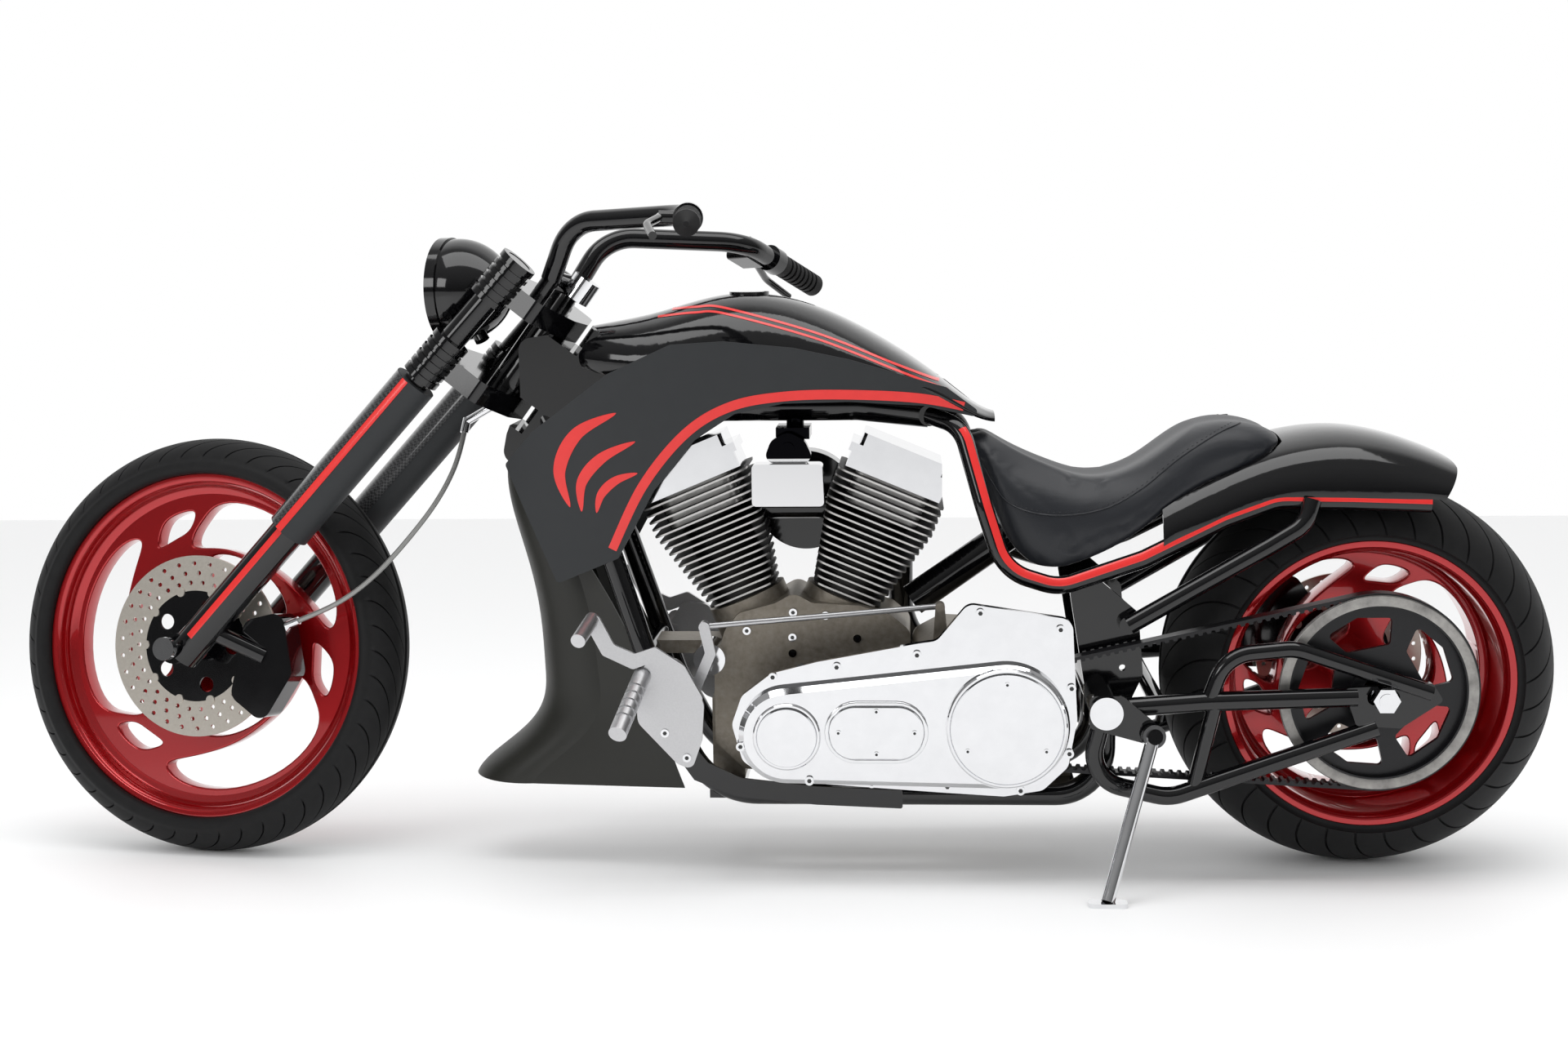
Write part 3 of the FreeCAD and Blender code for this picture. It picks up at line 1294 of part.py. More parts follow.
# Brake hose: from the lower tree to the caliper, held at both ends
hose_radius = 4.5
hose_points = [
    # rearward and upward from the front axle, and to the side
    (478, -8, 380), (474, -20, 338), (460, -34, 292), (438, -47, 248), (408, -58, 205), (374, -68, 162),
    (338, -76, 124), (298, -82, 92), (254, -86, 68), (208, -88, 50)]
hose_route = [front_axle + V(a, b, c) for a, b, c in hose_points]
brake_hose = tube(hose_route, hose_radius, span)
for before, corner, after in zip(hose_route, hose_route[1:], hose_route[2:]):
    first, middle, last = corner_arc(before, corner, after, span)
    print("hose bend", round(Part.Arc(first, middle, last).toShape().Curve.Radius))
hose_path = open_path(hose_route, span)
print("hose length", round(hose_path.Length), "volume share",
      round(brake_hose.Volume / (math.pi * hose_radius ** 2 * hose_path.Length), 4))
hose_start = hose_route[1] - hose_route[0]
hose_start.normalize()
hose_end = hose_route[-1] - hose_route[-2]
hose_end.normalize()
fitting_radius = hose_radius * 1.6
fitting_length = 26.0
hose_upper_fitting = rod(hose_route[0], hose_route[0] - hose_start * fitting_length, fitting_radius)
hose_lower_fitting = rod(hose_route[-1], hose_route[-1] + hose_end * fitting_length, fitting_radius)
hose_clip = rod(hose_route[0] - hose_start * fitting_length * 0.8, stem_point(-neck_length / 2 - tree_thickness, 0),
                fitting_radius)
hose_banjo = rod(hose_route[-1] + hose_end * fitting_length * 0.8,
                 polar(front_axle, front_disc_radius * 0.98, 2, -front_disc_offset - disc_thickness - peg_radius), fitting_radius)
hose_fittings = Part.makeCompound([
    fused(hose_upper_fitting, hose_clip).cut(lower_tree).cut(headlight),
    fused(hose_lower_fitting, hose_banjo).cut(front_caliper)])

# Hand controls, beside each grip
perch_radius = 24.0
perch_width = 28.0
lever_reach = 46.0
lever_length = 150.0
lever_radius = 6.5
reservoir_length = 66.0
reservoir_width = 42.0
reservoir_height = 40.0


def hand_control(sign):
    start, end, along = grip_ends(sign)
    ahead = up.cross(along) * sign
    ahead.normalize()
    above = along.cross(ahead) * sign
    perch = rod(start - along * (perch_width + overrun), start - along * overrun, perch_radius)
    root = start - along * (perch_width / 2 + overrun)
    knuckle = root + ahead * lever_reach
    arm = rod(root + ahead * (bar_radius + overrun), knuckle, lever_radius * 1.6)
    bar_clear = rod(start - along * reservoir_length * 3, start, bar_radius)
    blade = tube([knuckle - along * (perch_width / 2), knuckle + along * (perch_width * 0.8),
                  knuckle + along * (lever_length * 0.55) + ahead * (lever_reach * 0.35) - above * lever_radius,
                  knuckle + along * lever_length + ahead * (lever_reach * 0.1) - above * (lever_radius * 3)],
                 lever_radius, lever_length / 3)
    pieces = [perch, arm, blade]
    if sign > 0:
        corner = root - along * (perch_width / 2 + reservoir_length) + ahead * (bar_radius * 0.3)
        half = above * (reservoir_height / 2)
        points = [corner - half, corner - half + along * reservoir_length, corner + half + along * reservoir_length,
                  corner + half]
        pieces.append(slab(rounded_loop(points, window_corner), ahead * reservoir_width))
    return fused(*pieces).cut(bar_clear).cut(handlebar)


hand_controls = Part.makeCompound([hand_control(-1), hand_control(1)])

# Gauge: a small round instrument behind the bar
gauge_radius = 25.0
gauge_length = 40.0
gauge_offset = -20.0
gauge_middle = stem_point(tree_top + riser_top + gauge_length / 3, bar_radius + gauge_radius * 0.9 - riser_ahead,
                          gauge_offset)
gauge = rod(gauge_middle - stem_axis * (gauge_length / 2), gauge_middle + stem_axis * (gauge_length / 2), gauge_radius)
gauge = gauge.cut(handlebar)

# Parking: the fork is turned, and the machine leans over with both tyres on the floor
steer_place = FreeCAD.Placement(V(0, 0, 0), FreeCAD.Rotation(stem_axis, -steer_parked_deg), head)


def lean_turn(pitch_deg):
    return FreeCAD.Rotation(V(1, 0, 0), lean_deg).multiply(FreeCAD.Rotation(side, pitch_deg))


def above_floor(turn, centre, axis, radius, crown):
    """how high a tyre's lowest point is, for a wheel on an axle that leans"""
    tilt = turn.multVec(axis).z
    return turn.multVec(centre).z - crown - (radius - crown) * math.sqrt(1 - tilt ** 2)


def rear_height(turn):
    return above_floor(turn, rear_axle, side, rear_tyre_radius, rear_crown_radius)


def front_height(turn):
    return above_floor(turn, steer_place.multVec(front_axle), steer_place.Rotation.multVec(side),
                       front_tyre_radius, front_crown_radius)


pitch_deg = 0
for step in range(5):
    excess = front_height(lean_turn(pitch_deg)) - rear_height(lean_turn(pitch_deg))
    pitch_deg -= math.degrees(excess / wheelbase)
park_turn = lean_turn(pitch_deg)
park_place = FreeCAD.Placement(V(0, 0, -rear_height(park_turn)), park_turn)

# Side stand: a leg that reaches the floor when the machine leans, and folds back along the swingarm
stand_pivot_back = 75.0
stand_pivot_drop = 36.0
stand_pivot_offset = 267.2
stand_foot_x = -454.0
stand_foot_y = -373.0
stand_foot_length = 62.0
stand_foot_width = 36.0
stand_foot_height = 7.0
stand_radius = 11.0
stand_eye_radius = 19.0
stand_eye_width = 14.0
stand_pin_radius = 8.0
stand_fold_direction = V(0.97, -0.06, -0.2)

stand_pivot_up = V(pivot_x + stand_pivot_back, -stand_pivot_offset, pivot_height - stand_pivot_drop)
stand_pivot = park_place.multVec(stand_pivot_up)
stand_foot_centre = V(stand_foot_x, stand_foot_y, stand_foot_height)
stand_down = stand_foot_centre - stand_pivot
stand_down.normalize()
stand_back = park_turn.multVec(stand_fold_direction)
stand_back.normalize()
stand_change = stand_back - stand_down
outboard = V(0, -1, 0)
stand_axis = outboard - stand_change * (outboard.dot(stand_change) / stand_change.dot(stand_change))
stand_axis.normalize()


def flat_part(direction):
    """the part of a direction that lies across the stand's pin"""
    return direction - stand_axis * direction.dot(stand_axis)


stand_fold_deg = math.degrees(flat_part(stand_down).getAngle(flat_part(stand_back)))


def along_pin(start, end, radius):
    """a cylinder on the pin's axis, from one place along it to another"""
    return rod(stand_pivot + stand_axis * start, stand_pivot + stand_axis * end, radius)


half_eye = stand_eye_width / 2
stand_leg = rod(stand_pivot, stand_foot_centre, stand_radius)
stand_eye = along_pin(-half_eye, half_eye, stand_eye_radius)
foot_corner = V(stand_foot_x, stand_foot_y, 0)
foot_points = [foot_corner + V(a * stand_foot_length / 2, b * stand_foot_width / 2, 0)
               for a, b in ((-1, -1), (1, -1), (1, 1), (-1, 1))]
stand_tab = slab(rounded_loop(foot_points, stand_foot_width * 0.3), up * stand_foot_height)
pin_bore = along_pin(-stand_eye_width, stand_eye_width, stand_pin_radius + running_fit)
inner_side = along_pin(-stand_eye_radius * 2, -half_eye, stand_eye_radius * 1.5)
outer_side = along_pin(half_eye, stand_eye_radius * 2, stand_pin_radius * 1.6 + seat_gap)
side_stand = fused(stand_leg, stand_eye, stand_tab).cut(pin_bore).cut(inner_side).cut(outer_side)

unpark = park_place.inverse()


def unparked(shape):
    back = shape.copy()
    back.transformShape(unpark.toMatrix(), True)
    return back


stand_boss_start = -half_eye - seat_gap - stand_plate * 1.7
stand_pin = fused(along_pin(stand_boss_start, half_eye + seat_gap + stand_plate / 2, stand_pin_radius),
                  along_pin(stand_boss_start, -half_eye - seat_gap, stand_eye_radius * 0.8),
                  along_pin(half_eye + seat_gap, half_eye + seat_gap + stand_plate / 2, stand_pin_radius * 1.6))
plate_face = -arm_face - seat_gap
plate_points = [pivot_centre + V(-pivot_cap_radius, 0, pivot_cap_radius), pivot_centre + V(pivot_cap_radius, 0, pivot_cap_radius),
                stand_pivot_up + V(stand_eye_radius, 0, stand_eye_radius * 0.3), stand_pivot_up + V(0, 0, -stand_eye_radius),
                pivot_centre + V(-pivot_cap_radius, 0, -pivot_cap_radius)]
stand_bracket = side_plate(plate_points, stand_eye_radius * 0.6, plate_face - stand_plate, plate_face)
stand_bracket = fused(stand_bracket, unparked(stand_pin)).cut(pivot_shaft).cut(swingarm_left)

# The pieces, by the rigid body they belong to
nodes = {
    "front_wheel": {"front_rim": front_rim, "front_tyre": front_tyre, "front_disc": front_disc},
    "rear_wheel": {"rear_rim": rear_rim, "rear_tyre": rear_tyre, "rear_disc": rear_disc,
                   "rear_pulley": rear_pulley},
    "fork": {"fork_sliders": fork_sliders, "fork_covers": fork_covers, "lower_tree": lower_tree,
             "upper_tree": upper_tree, "front_axle": front_axle_rod, "headlight": headlight,
             "headlight_lens": headlight_lens, "handlebar": handlebar, "grips": grips,
             "hand_controls": hand_controls, "gauge": gauge, "front_caliper": front_caliper,
             "hose_fittings": hose_fittings, "brake_hose": brake_hose},
    "chassis": {"drive_belt": drive_belt, "front_pulley": front_pulley, "tank_shell": tank_shell,
                "fuel_cap": fuel_cap, "tank_panel_left": tank_panel_left, "tank_panel_right": tank_panel_right,
                "chin_fairing": chin_fairing, "frame_backbone": frame_backbone, "frame_cradle": frame_cradle,
                "frame_post": frame_post, "seat_rails": seat_rails, "swingarm_left": swingarm_left,
                "swingarm_right": swingarm_right, "swingarm_bridge": swingarm_bridge,
                "swingarm_pivot": pivot_shaft, "rear_axle": rear_axle_rod, "crankcase": crankcase,
                "oil_filter": oil_filter,
                "gearbox": gearbox, "front_cylinder": front_cylinder, "rear_cylinder": rear_cylinder,
                "front_rocker_box": front_rocker_box, "rear_rocker_box": rear_rocker_box,
                "primary_cover": primary_cover, "inner_primary": inner_primary, "coil_block": coil_block,
                "cam_cover": cam_cover, "air_cleaner": air_cleaner, "exhaust": exhaust, "seat": seat,
                "rear_fender": rear_fender, "left_foot_control": left_foot_control,
                "right_foot_control": right_foot_control, "rear_caliper": rear_caliper,
                "stand_bracket": stand_bracket},
    "side_stand": {"side_stand": side_stand},
}

# The machine as it stands: its box's middle over the origin
still = FreeCAD.Placement()
steered = park_place.multiply(steer_place)
places_by_body = {"chassis": park_place, "rear_wheel": park_place, "fork": steered, "front_wheel": steered,
                  "side_stand": still}


def moved(shape, placement):
    shifted = shape.copy()
    shifted.transformShape(placement.toMatrix(), True)
    return shifted


standing = {body: {name: moved(shape, places_by_body[body]) for name, shape in pieces.items()}
            for body, pieces in nodes.items()}
reach = FreeCAD.BoundBox()
mesh_step = running_fit * 10
for pieces in standing.values():
    for shape in pieces.values():
        for point in shape.tessellate(mesh_step)[0]:
            reach.add(point)
shift = V(-(reach.XMin + reach.XMax) / 2, -(reach.YMin + reach.YMax) / 2, 0)
shift_place = FreeCAD.Placement(shift, FreeCAD.Rotation())
for body, pieces in standing.items():
    for name, shape in pieces.items():
        moved(shape, shift_place).exportStep("parts/" + name + ".step")
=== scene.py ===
import json
import math

import bmesh
import bpy
from mathutils import Matrix, Vector
from mathutils.bvhtree import BVHTree


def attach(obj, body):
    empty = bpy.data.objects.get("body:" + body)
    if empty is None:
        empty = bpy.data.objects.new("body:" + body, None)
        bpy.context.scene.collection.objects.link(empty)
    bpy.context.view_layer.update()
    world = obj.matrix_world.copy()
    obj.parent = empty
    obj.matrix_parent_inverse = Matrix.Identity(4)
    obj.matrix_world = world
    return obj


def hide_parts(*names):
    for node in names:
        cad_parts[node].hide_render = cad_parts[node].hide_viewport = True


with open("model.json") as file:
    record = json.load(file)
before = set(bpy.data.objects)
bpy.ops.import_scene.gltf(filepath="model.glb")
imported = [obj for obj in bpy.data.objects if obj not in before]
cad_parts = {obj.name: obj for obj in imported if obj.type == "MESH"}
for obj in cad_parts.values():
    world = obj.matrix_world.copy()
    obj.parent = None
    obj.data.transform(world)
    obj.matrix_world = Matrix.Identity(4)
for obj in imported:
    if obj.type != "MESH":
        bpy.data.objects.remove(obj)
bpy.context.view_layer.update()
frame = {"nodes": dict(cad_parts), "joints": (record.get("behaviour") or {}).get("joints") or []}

# The machine's own directions. It leans on its stand, with the bars turned, so a point of the frame or of
# the fork is given as on an upright machine: back, to the rider's right, and up, from a wheel's axle.
rake = math.radians(36.4)
joints = {joint["name"]: joint for joint in frame["joints"]}
steering_line = Vector(joints["steering"]["axis"]).normalized()


def upright_at(wheel_joint):
    """The place and directions of an upright machine that turns about this wheel's axle."""
    across = Vector(joints[wheel_joint]["axis"]).normalized()
    ahead = across.cross(steering_line)
    back = steering_line * math.sin(rake) + ahead * math.cos(rake)
    up = steering_line * math.cos(rake) - ahead * math.sin(rake)
    turned = Matrix((back, across, up)).transposed().to_4x4()
    turned.translation = Vector(joints[wheel_joint]["pos_m"])
    return turned


on_frame = upright_at("rear_wheel_spin")
on_fork = upright_at("front_wheel_spin")

# Studio: a pale floor that runs into a white wall, soft lamps above and beside, and the camera at the
# height of a crouching photographer on the machine's left.
camera_back = -0.7751
camera_side = -3.6876
camera_up = 0.5094
camera_yaw = math.radians(-3.25)
camera_pitch = math.radians(3.93)
camera_roll = math.radians(0.39)
camera_lens = 48.65

sight = Vector((math.sin(camera_yaw) * math.cos(camera_pitch), math.cos(camera_yaw) * math.cos(camera_pitch),
                -math.sin(camera_pitch)))
level_right = Vector((math.cos(camera_yaw), -math.sin(camera_yaw), 0))
level_down = sight.cross(level_right)
picture_right = level_right * math.cos(camera_roll) + level_down * math.sin(camera_roll)
picture_down = level_down * math.cos(camera_roll) - level_right * math.sin(camera_roll)
camera = bpy.data.objects.new("camera", bpy.data.cameras.new("camera"))
bpy.context.scene.collection.objects.link(camera)
camera.data.lens = camera_lens
camera.data.sensor_width = 36.0
camera.matrix_world = Matrix((picture_right, -picture_down, -sight)).transposed().to_4x4()
camera.location = on_frame.translation + Vector((camera_back, camera_side, camera_up))
bpy.context.scene.camera = camera
bpy.context.scene.view_settings.view_transform = "Standard"

floor_colour = (0.95, 0.952, 0.955, 1)
floor_half = 9.0
floor_mesh = bpy.data.meshes.new("floor")
floor_corners = [(-floor_half, -floor_half, 0), (floor_half, -floor_half, 0), (floor_half, floor_half, 0),
                 (-floor_half, floor_half, 0)]
floor_mesh.from_pydata(floor_corners, [], [(0, 1, 2, 3)])
floor = bpy.data.objects.new("floor", floor_mesh)
bpy.context.scene.collection.objects.link(floor)
floor_paint = bpy.data.materials.new("floor_paint")
floor_paint.use_nodes = True
floor_paint.node_tree.nodes["Principled BSDF"].inputs["Base Color"].default_value = floor_colour
floor_paint.node_tree.nodes["Principled BSDF"].inputs["Roughness"].default_value = 0.55
floor_mesh.materials.append(floor_paint)

world = bpy.data.worlds.new("studio")
bpy.context.scene.world = world
world.use_nodes = True
sky = world.node_tree.nodes["Background"]
sky_strength = 0.95
links = world.node_tree.links
seen = world.node_tree.nodes.new("ShaderNodeLightPath")
direction = world.node_tree.nodes.new("ShaderNodeTexCoord")
parts = world.node_tree.nodes.new("ShaderNodeSeparateXYZ")
links.new(direction.outputs["Generated"], parts.inputs[0])


def world_range(source, low, high, dark, bright):
    """How bright the studio is in a direction, between two heights or depths."""
    node = world.node_tree.nodes.new("ShaderNodeMapRange")
    for label, value in (("From Min", low), ("From Max", high), ("To Min", dark), ("To Max", bright)):
        node.inputs[label].default_value = value
    links.new(source, node.inputs["Value"])
    return node.outputs["Result"]


def world_mix(kind, first, second):
    """One value from two, by a step of sums."""
    node = world.node_tree.nodes.new("ShaderNodeMath")
    node.operation = kind
    links.new(first, node.inputs[0])
    links.new(second, node.inputs[1])
    return node.outputs[0]


# Reflections see a dim room behind the camera, a dim ceiling and the bright wall.
ceiling_glow = world_range(parts.outputs["Z"], 0.0, 0.7, 0.10, 0.34)
wall_glow = world_range(parts.outputs["Y"], 0.0, 0.45, 0.0, 1.0)
mirrored_glow = world_mix("MAXIMUM", ceiling_glow, wall_glow)
strength = world.node_tree.nodes.new("ShaderNodeMix")
links.new(seen.outputs["Is Glossy Ray"], strength.inputs["Factor"])
strength.inputs["A"].default_value = sky_strength
links.new(mirrored_glow, strength.inputs["B"])
whole_glow = world_mix("MAXIMUM", seen.outputs["Is Camera Ray"], strength.outputs["Result"])
links.new(whole_glow, sky.inputs["Strength"])
sky.inputs["Color"].default_value = (1, 1, 1, 1)


def lamp(name, place, aim, width, height, power):
    """A soft box that hangs at a place and points at another."""
    box = bpy.data.lights.new(name, "AREA")
    box.shape = "RECTANGLE"
    box.size = width
    box.size_y = height
    box.energy = power
    holder = bpy.data.objects.new(name, box)
    bpy.context.scene.collection.objects.link(holder)
    holder.location = place
    holder.rotation_euler = (Vector(aim) - Vector(place)).to_track_quat("-Z", "Y").to_euler()


lamp("overhead_lamp", (0.1, -0.6, 3.2), (0, 0, 0.3), 3.6, 1.6, 45)
lamp("left_lamp", (-2.6, -3.2, 1.9), (0, 0, 0.5), 1.4, 1.2, 20)

# Frame: bent steel tubes under gloss black paint, with the swingarm's two triangulated sides, the sloping
# post and the seat rails. Its pivot, rear axle and side stand are chrome plated.


def finish(name, colour, metal, rough, coat=0.0):
    """A finish of one colour, to which its section may add grain and wear."""
    made = bpy.data.materials.new(name)
    made.use_nodes = True
    shader = made.node_tree.nodes["Principled BSDF"]
    shader.inputs["Base Color"].default_value = (*colour, 1)
    shader.inputs["Metallic"].default_value = metal
    shader.inputs["Roughness"].default_value = rough
    shader.inputs["Coat Weight"].default_value = coat
    shader.inputs["Coat Roughness"].default_value = 0.03
    return made


def add_node(made, kind, settings=(), **inputs):
    """A node of this kind in a finish, with its settings and its inputs' values."""
    node = made.node_tree.nodes.new(kind)
    for setting, value in dict(settings).items():
        setattr(node, setting, value)
    for name, value in inputs.items():
        node.inputs[name.replace("_", " ")].default_value = value
    return node


def join(made, start, end):
    """Links one node's output to another's input, in a finish."""
    made.node_tree.links.new(start, end)


def tint_colours(mix, low, high):
    """Sets a colour mix's two colours."""
    for socket, colour in zip([s for s in mix.inputs if s.type == "RGBA"], (low, high)):
        socket.default_value = (*colour, 1)


def colour_of(mix):
    """A colour mix's result."""
    return [socket for socket in mix.outputs if socket.type == "RGBA"][0]


def add_grain(made, size, colour_low, colour_high, rough_low, rough_high, bump, detail=4.0):
    """Cloudy grain of this size in metres, which sets the colour, the roughness and a slight relief."""
    shader = made.node_tree.nodes["Principled BSDF"]
    place = add_node(made, "ShaderNodeTexCoord")
    cloud = add_node(made, "ShaderNodeTexNoise", Scale=1 / size, Detail=detail, Roughness=0.6)
    join(made, place.outputs["Object"], cloud.inputs["Vector"])
    tint = add_node(made, "ShaderNodeMix", {"data_type": "RGBA"})
    tint_colours(tint, colour_low, colour_high)
    join(made, cloud.outputs["Fac"], tint.inputs["Factor"])
    join(made, colour_of(tint), shader.inputs["Base Color"])
    spread = add_node(made, "ShaderNodeMapRange", {}, To_Min=rough_low, To_Max=rough_high)
    join(made, cloud.outputs["Fac"], spread.inputs["Value"])
    join(made, spread.outputs["Result"], shader.inputs["Roughness"])
    relief = add_node(made, "ShaderNodeBump", {}, Strength=1.0, Distance=bump)
    join(made, cloud.outputs["Fac"], relief.inputs["Height"])
    join(made, relief.outputs["Normal"], shader.inputs["Normal"])
    return made


def dress(made, *names):
    """Gives carried-over solids their finish."""
    for name in names:
        node = frame["nodes"][name]
        node.data.materials.clear()
        node.data.materials.append(made)


gloss = add_grain(finish("gloss_black", (0.002, 0.002, 0.0025), 0, 0.12, 0.3), 0.05, (0.0015, 0.0015, 0.002),
                  (0.003, 0.003, 0.0035), 0.06, 0.13, 0.0)
dress(gloss, "frame_backbone", "frame_cradle", "frame_post", "seat_rails", "swingarm_left", "swingarm_right",
      "swingarm_bridge", "stand_bracket")
chrome = add_grain(finish("chrome_plate", (0.82, 0.82, 0.83), 1, 0.06), 0.03, (0.74, 0.745, 0.76),
                   (0.84, 0.845, 0.86), 0.03, 0.09, 0.0)
dress(chrome, "side_stand", "rear_axle", "swingarm_pivot")

# Seat rails: bent steel tubes under the saddle and the fender, welded to the frame and painted with it. A red
# line is painted along the outside of each, from the tank to the tail.
span = 1.421
rise = 0.884
hub_height = 0.333
rail_bend = 0.078
rail_skin_radius = 0.0154
rail_half_width = 0.15
across = (on_frame.to_3x3() @ Vector((0, 1, 0))).normalized()


def at(share_along, share_up, aside):
    """A place on the frame, by shares of the steering head's reach and height, and metres to the right."""
    return on_frame @ Vector((-share_along * span, aside, share_up * rise - hub_height))


def settle(name, mesh, made, body, smooth=35):
    """Puts a mesh on its body, with its finish and its shading."""
    if made:
        mesh.materials.clear()
        mesh.materials.append(made)
    mesh.shade_smooth()
    mesh.set_sharp_from_angle(angle=math.radians(smooth))
    piece = bpy.data.objects.new(name, mesh)
    bpy.context.scene.collection.objects.link(piece)
    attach(piece, body)
    return piece


def piece_from(name, points, faces, made, body, smooth=35, facing=None):
    """A piece from its points and faces. An open strip faces one way, and a shell faces out."""
    mesh = bpy.data.meshes.new(name)
    mesh.from_pydata([tuple(point) for point in points], [], faces)
    if facing:
        if mesh.polygons[0].normal.dot(facing) < 0:
            mesh.flip_normals()
    else:
        shell = bmesh.new()
        shell.from_mesh(mesh)
        bmesh.ops.recalc_face_normals(shell, faces=shell.faces)
        shell.to_mesh(mesh)
        shell.free()
    return settle(name, mesh, made, body, smooth)


def rows_of_faces(start, wide):
    """The faces between the row of points that starts here and the next row."""
    return [(start + j, start + j + 1, start + wide + j + 1, start + wide + j) for j in range(wide - 1)]


def along(line, i):
    """The direction of a line at one of its places."""
    return (line[min(i + 1, len(line) - 1)] - line[max(i - 1, 0)]).normalized()


def rounded(points, bend, steps=8):
    """A line along straight runs whose corners are arcs."""
    line = [points[0]]
    for before, corner, after in zip(points, points[1:], points[2:]):
        a, b = (before - corner), (after - corner)
        turn = math.pi - a.angle(b)
        radius = min(bend, 0.48 * min(a.length, b.length) / math.tan(turn / 2))
        setback = radius * math.tan(turn / 2)
        a.normalize()
        b.normalize()
        middle = corner + (a + b).normalized() * (radius / math.cos(turn / 2))
        first, last = corner + a * setback - middle, corner + b * setback - middle
        axis = first.cross(last).normalized()
        line += [middle + Matrix.Rotation(turn * step / steps, 3, axis) @ first for step in range(steps + 1)]
    return line + [points[-1]]


def band_round(name, line, radius, facing, start, end, made, body, columns=6):
    """A band on a tube's skin, between two angles from the side that faces a given way."""
    points, faces = [], []
    wide = columns + 1
    for i, centre in enumerate(line):
        ahead = along(line, i)
        outward = (facing - ahead * facing.dot(ahead)).normalized()
        beside = ahead.cross(outward)
        for j in range(wide):
            turn = math.radians(start + (end - start) * j / columns)
            points.append(centre + (outward * math.cos(turn) + beside * math.sin(turn)) * radius)
        if i:
            faces += rows_of_faces((i - 1) * wide, wide)
    return piece_from(name, points, faces, made, body, facing=points[0] - line[0])


stripe = add_grain(finish("stripe_red", (0.68, 0.016, 0.014), 0, 0.3, 0.5), 0.02, (0.64, 0.014, 0.012),
                   (0.74, 0.019, 0.016), 0.26, 0.34, 0.0)
rail_shares = [(0.515, 0.885, 0.36), (0.478, 0.868, 0.62), (0.452, 0.72, 0.9), (0.428, 0.60, 1.0),
               (0.365, 0.568, 1.0), (0.267, 0.622, 1.0), (0.174, 0.697, 1.0), (0.115, 0.732, 1.0),
               (0.03, 0.73, 1.0), (-0.06, 0.725, 1.0)]
both_sides = (("left", -1), ("right", 1))
hidden_by_tank = 6
for side_name, sign in both_sides:
    rail_line = rounded([at(a, b, sign * rail_half_width * c) for a, b, c in rail_shares], rail_bend)
    band_round("rail_stripe_" + side_name, rail_line[hidden_by_tank:], rail_skin_radius, across * sign,
               sign * -2, sign * 50, stripe, "chassis")

# Crankcase and gearbox: bare cast aluminium with a warm, worn skin, and chrome socket caps that hold the
# cam chest and the crankcase halves. The heads are one cap repeated by a group of nodes, and each cap's
# socket is a black hex disc just proud of it, painted shade in place of a cut recess.
cast = add_grain(finish("cast_aluminium", (0.4, 0.37, 0.33), 0.85, 0.45), 0.012, (0.16, 0.135, 0.10),
                 (0.42, 0.385, 0.335), 0.38, 0.6, 0.0006)
dress(cast, "crankcase", "gearbox")
dress(gloss, "cam_cover", "air_cleaner", "exhaust")
dress(chrome, "oil_filter")

bolt_nodes = bpy.data.node_groups.new("bolt_heads", "GeometryNodeTree")
for label, kind in (("Places", "Geometry"), ("Radius", "Float"), ("Depth", "Float"), ("Along", "Vector"),
                    ("Finish", "Material"), ("Painted_Socket_Shade", "Material")):
    bolt_nodes.interface.new_socket(name=label, in_out="INPUT", socket_type="NodeSocket" + kind)
bolt_nodes.interface.new_socket(name="Heads", in_out="OUTPUT", socket_type="NodeSocketGeometry")


def bolt_node(kind, **given):
    """A node of the group, whose named inputs are linked to outputs or set to values."""
    node = bolt_nodes.nodes.new(kind)
    for name, source in given.items():
        if isinstance(source, bpy.types.NodeSocket):
            bolt_nodes.links.new(source, node.inputs[name])
        else:
            node.inputs[name].default_value = source
    return node


def shade_disc_size(value, kind, amount):
    """A size of the black hex disc of painted socket shade, from the head's."""
    node = bolt_nodes.nodes.new("ShaderNodeMath")
    node.operation = kind
    bolt_nodes.links.new(value, node.inputs[0])
    node.inputs[1].default_value = amount
    return node.outputs[0]


shade_disc_share = 0.52
shade_disc_proud = 0.0004
head_sides = 24
shade_disc_sides = 6
asked = bolt_node("NodeGroupInput").outputs
turn_out = bolt_node("FunctionNodeAlignRotationToVector", Vector=asked["Along"])
turn_out.axis = "Z"
both_heads = bolt_node("GeometryNodeJoinGeometry")
# The second shape is a black hex disc, a little proud of the cap: painted shade that stands for the socket's
# recess.
for sides, wide, deep, coat in ((head_sides, asked["Radius"], asked["Depth"], "Finish"),
                                (shade_disc_sides, shade_disc_size(asked["Radius"], "MULTIPLY", shade_disc_share),
                                 shade_disc_size(asked["Depth"], "ADD", shade_disc_proud), "Painted_Socket_Shade")):
    shank = bolt_node("GeometryNodeMeshCylinder", Vertices=sides, Radius=wide, Depth=deep)
    spread = bolt_node("GeometryNodeInstanceOnPoints", Points=asked["Places"], Instance=shank.outputs["Mesh"],
                       Rotation=turn_out.outputs["Rotation"])
    real = bolt_node("GeometryNodeRealizeInstances", Geometry=spread.outputs["Instances"])
    coated = bolt_node("GeometryNodeSetMaterial", Geometry=real.outputs["Geometry"], Material=asked[coat])
    bolt_nodes.links.new(coated.outputs["Geometry"], both_heads.inputs["Geometry"])
bolt_node("NodeGroupOutput", Heads=both_heads.outputs["Geometry"])
bolt_inputs = {item.name: item.identifier for item in bolt_nodes.interface.items_tree
               if item.in_out == "INPUT"}


def evaluated_mesh(holder):
    """The mesh that an object makes with its modifiers or its curve."""
    return bpy.data.meshes.new_from_object(holder.evaluated_get(bpy.context.evaluated_depsgraph_get()))


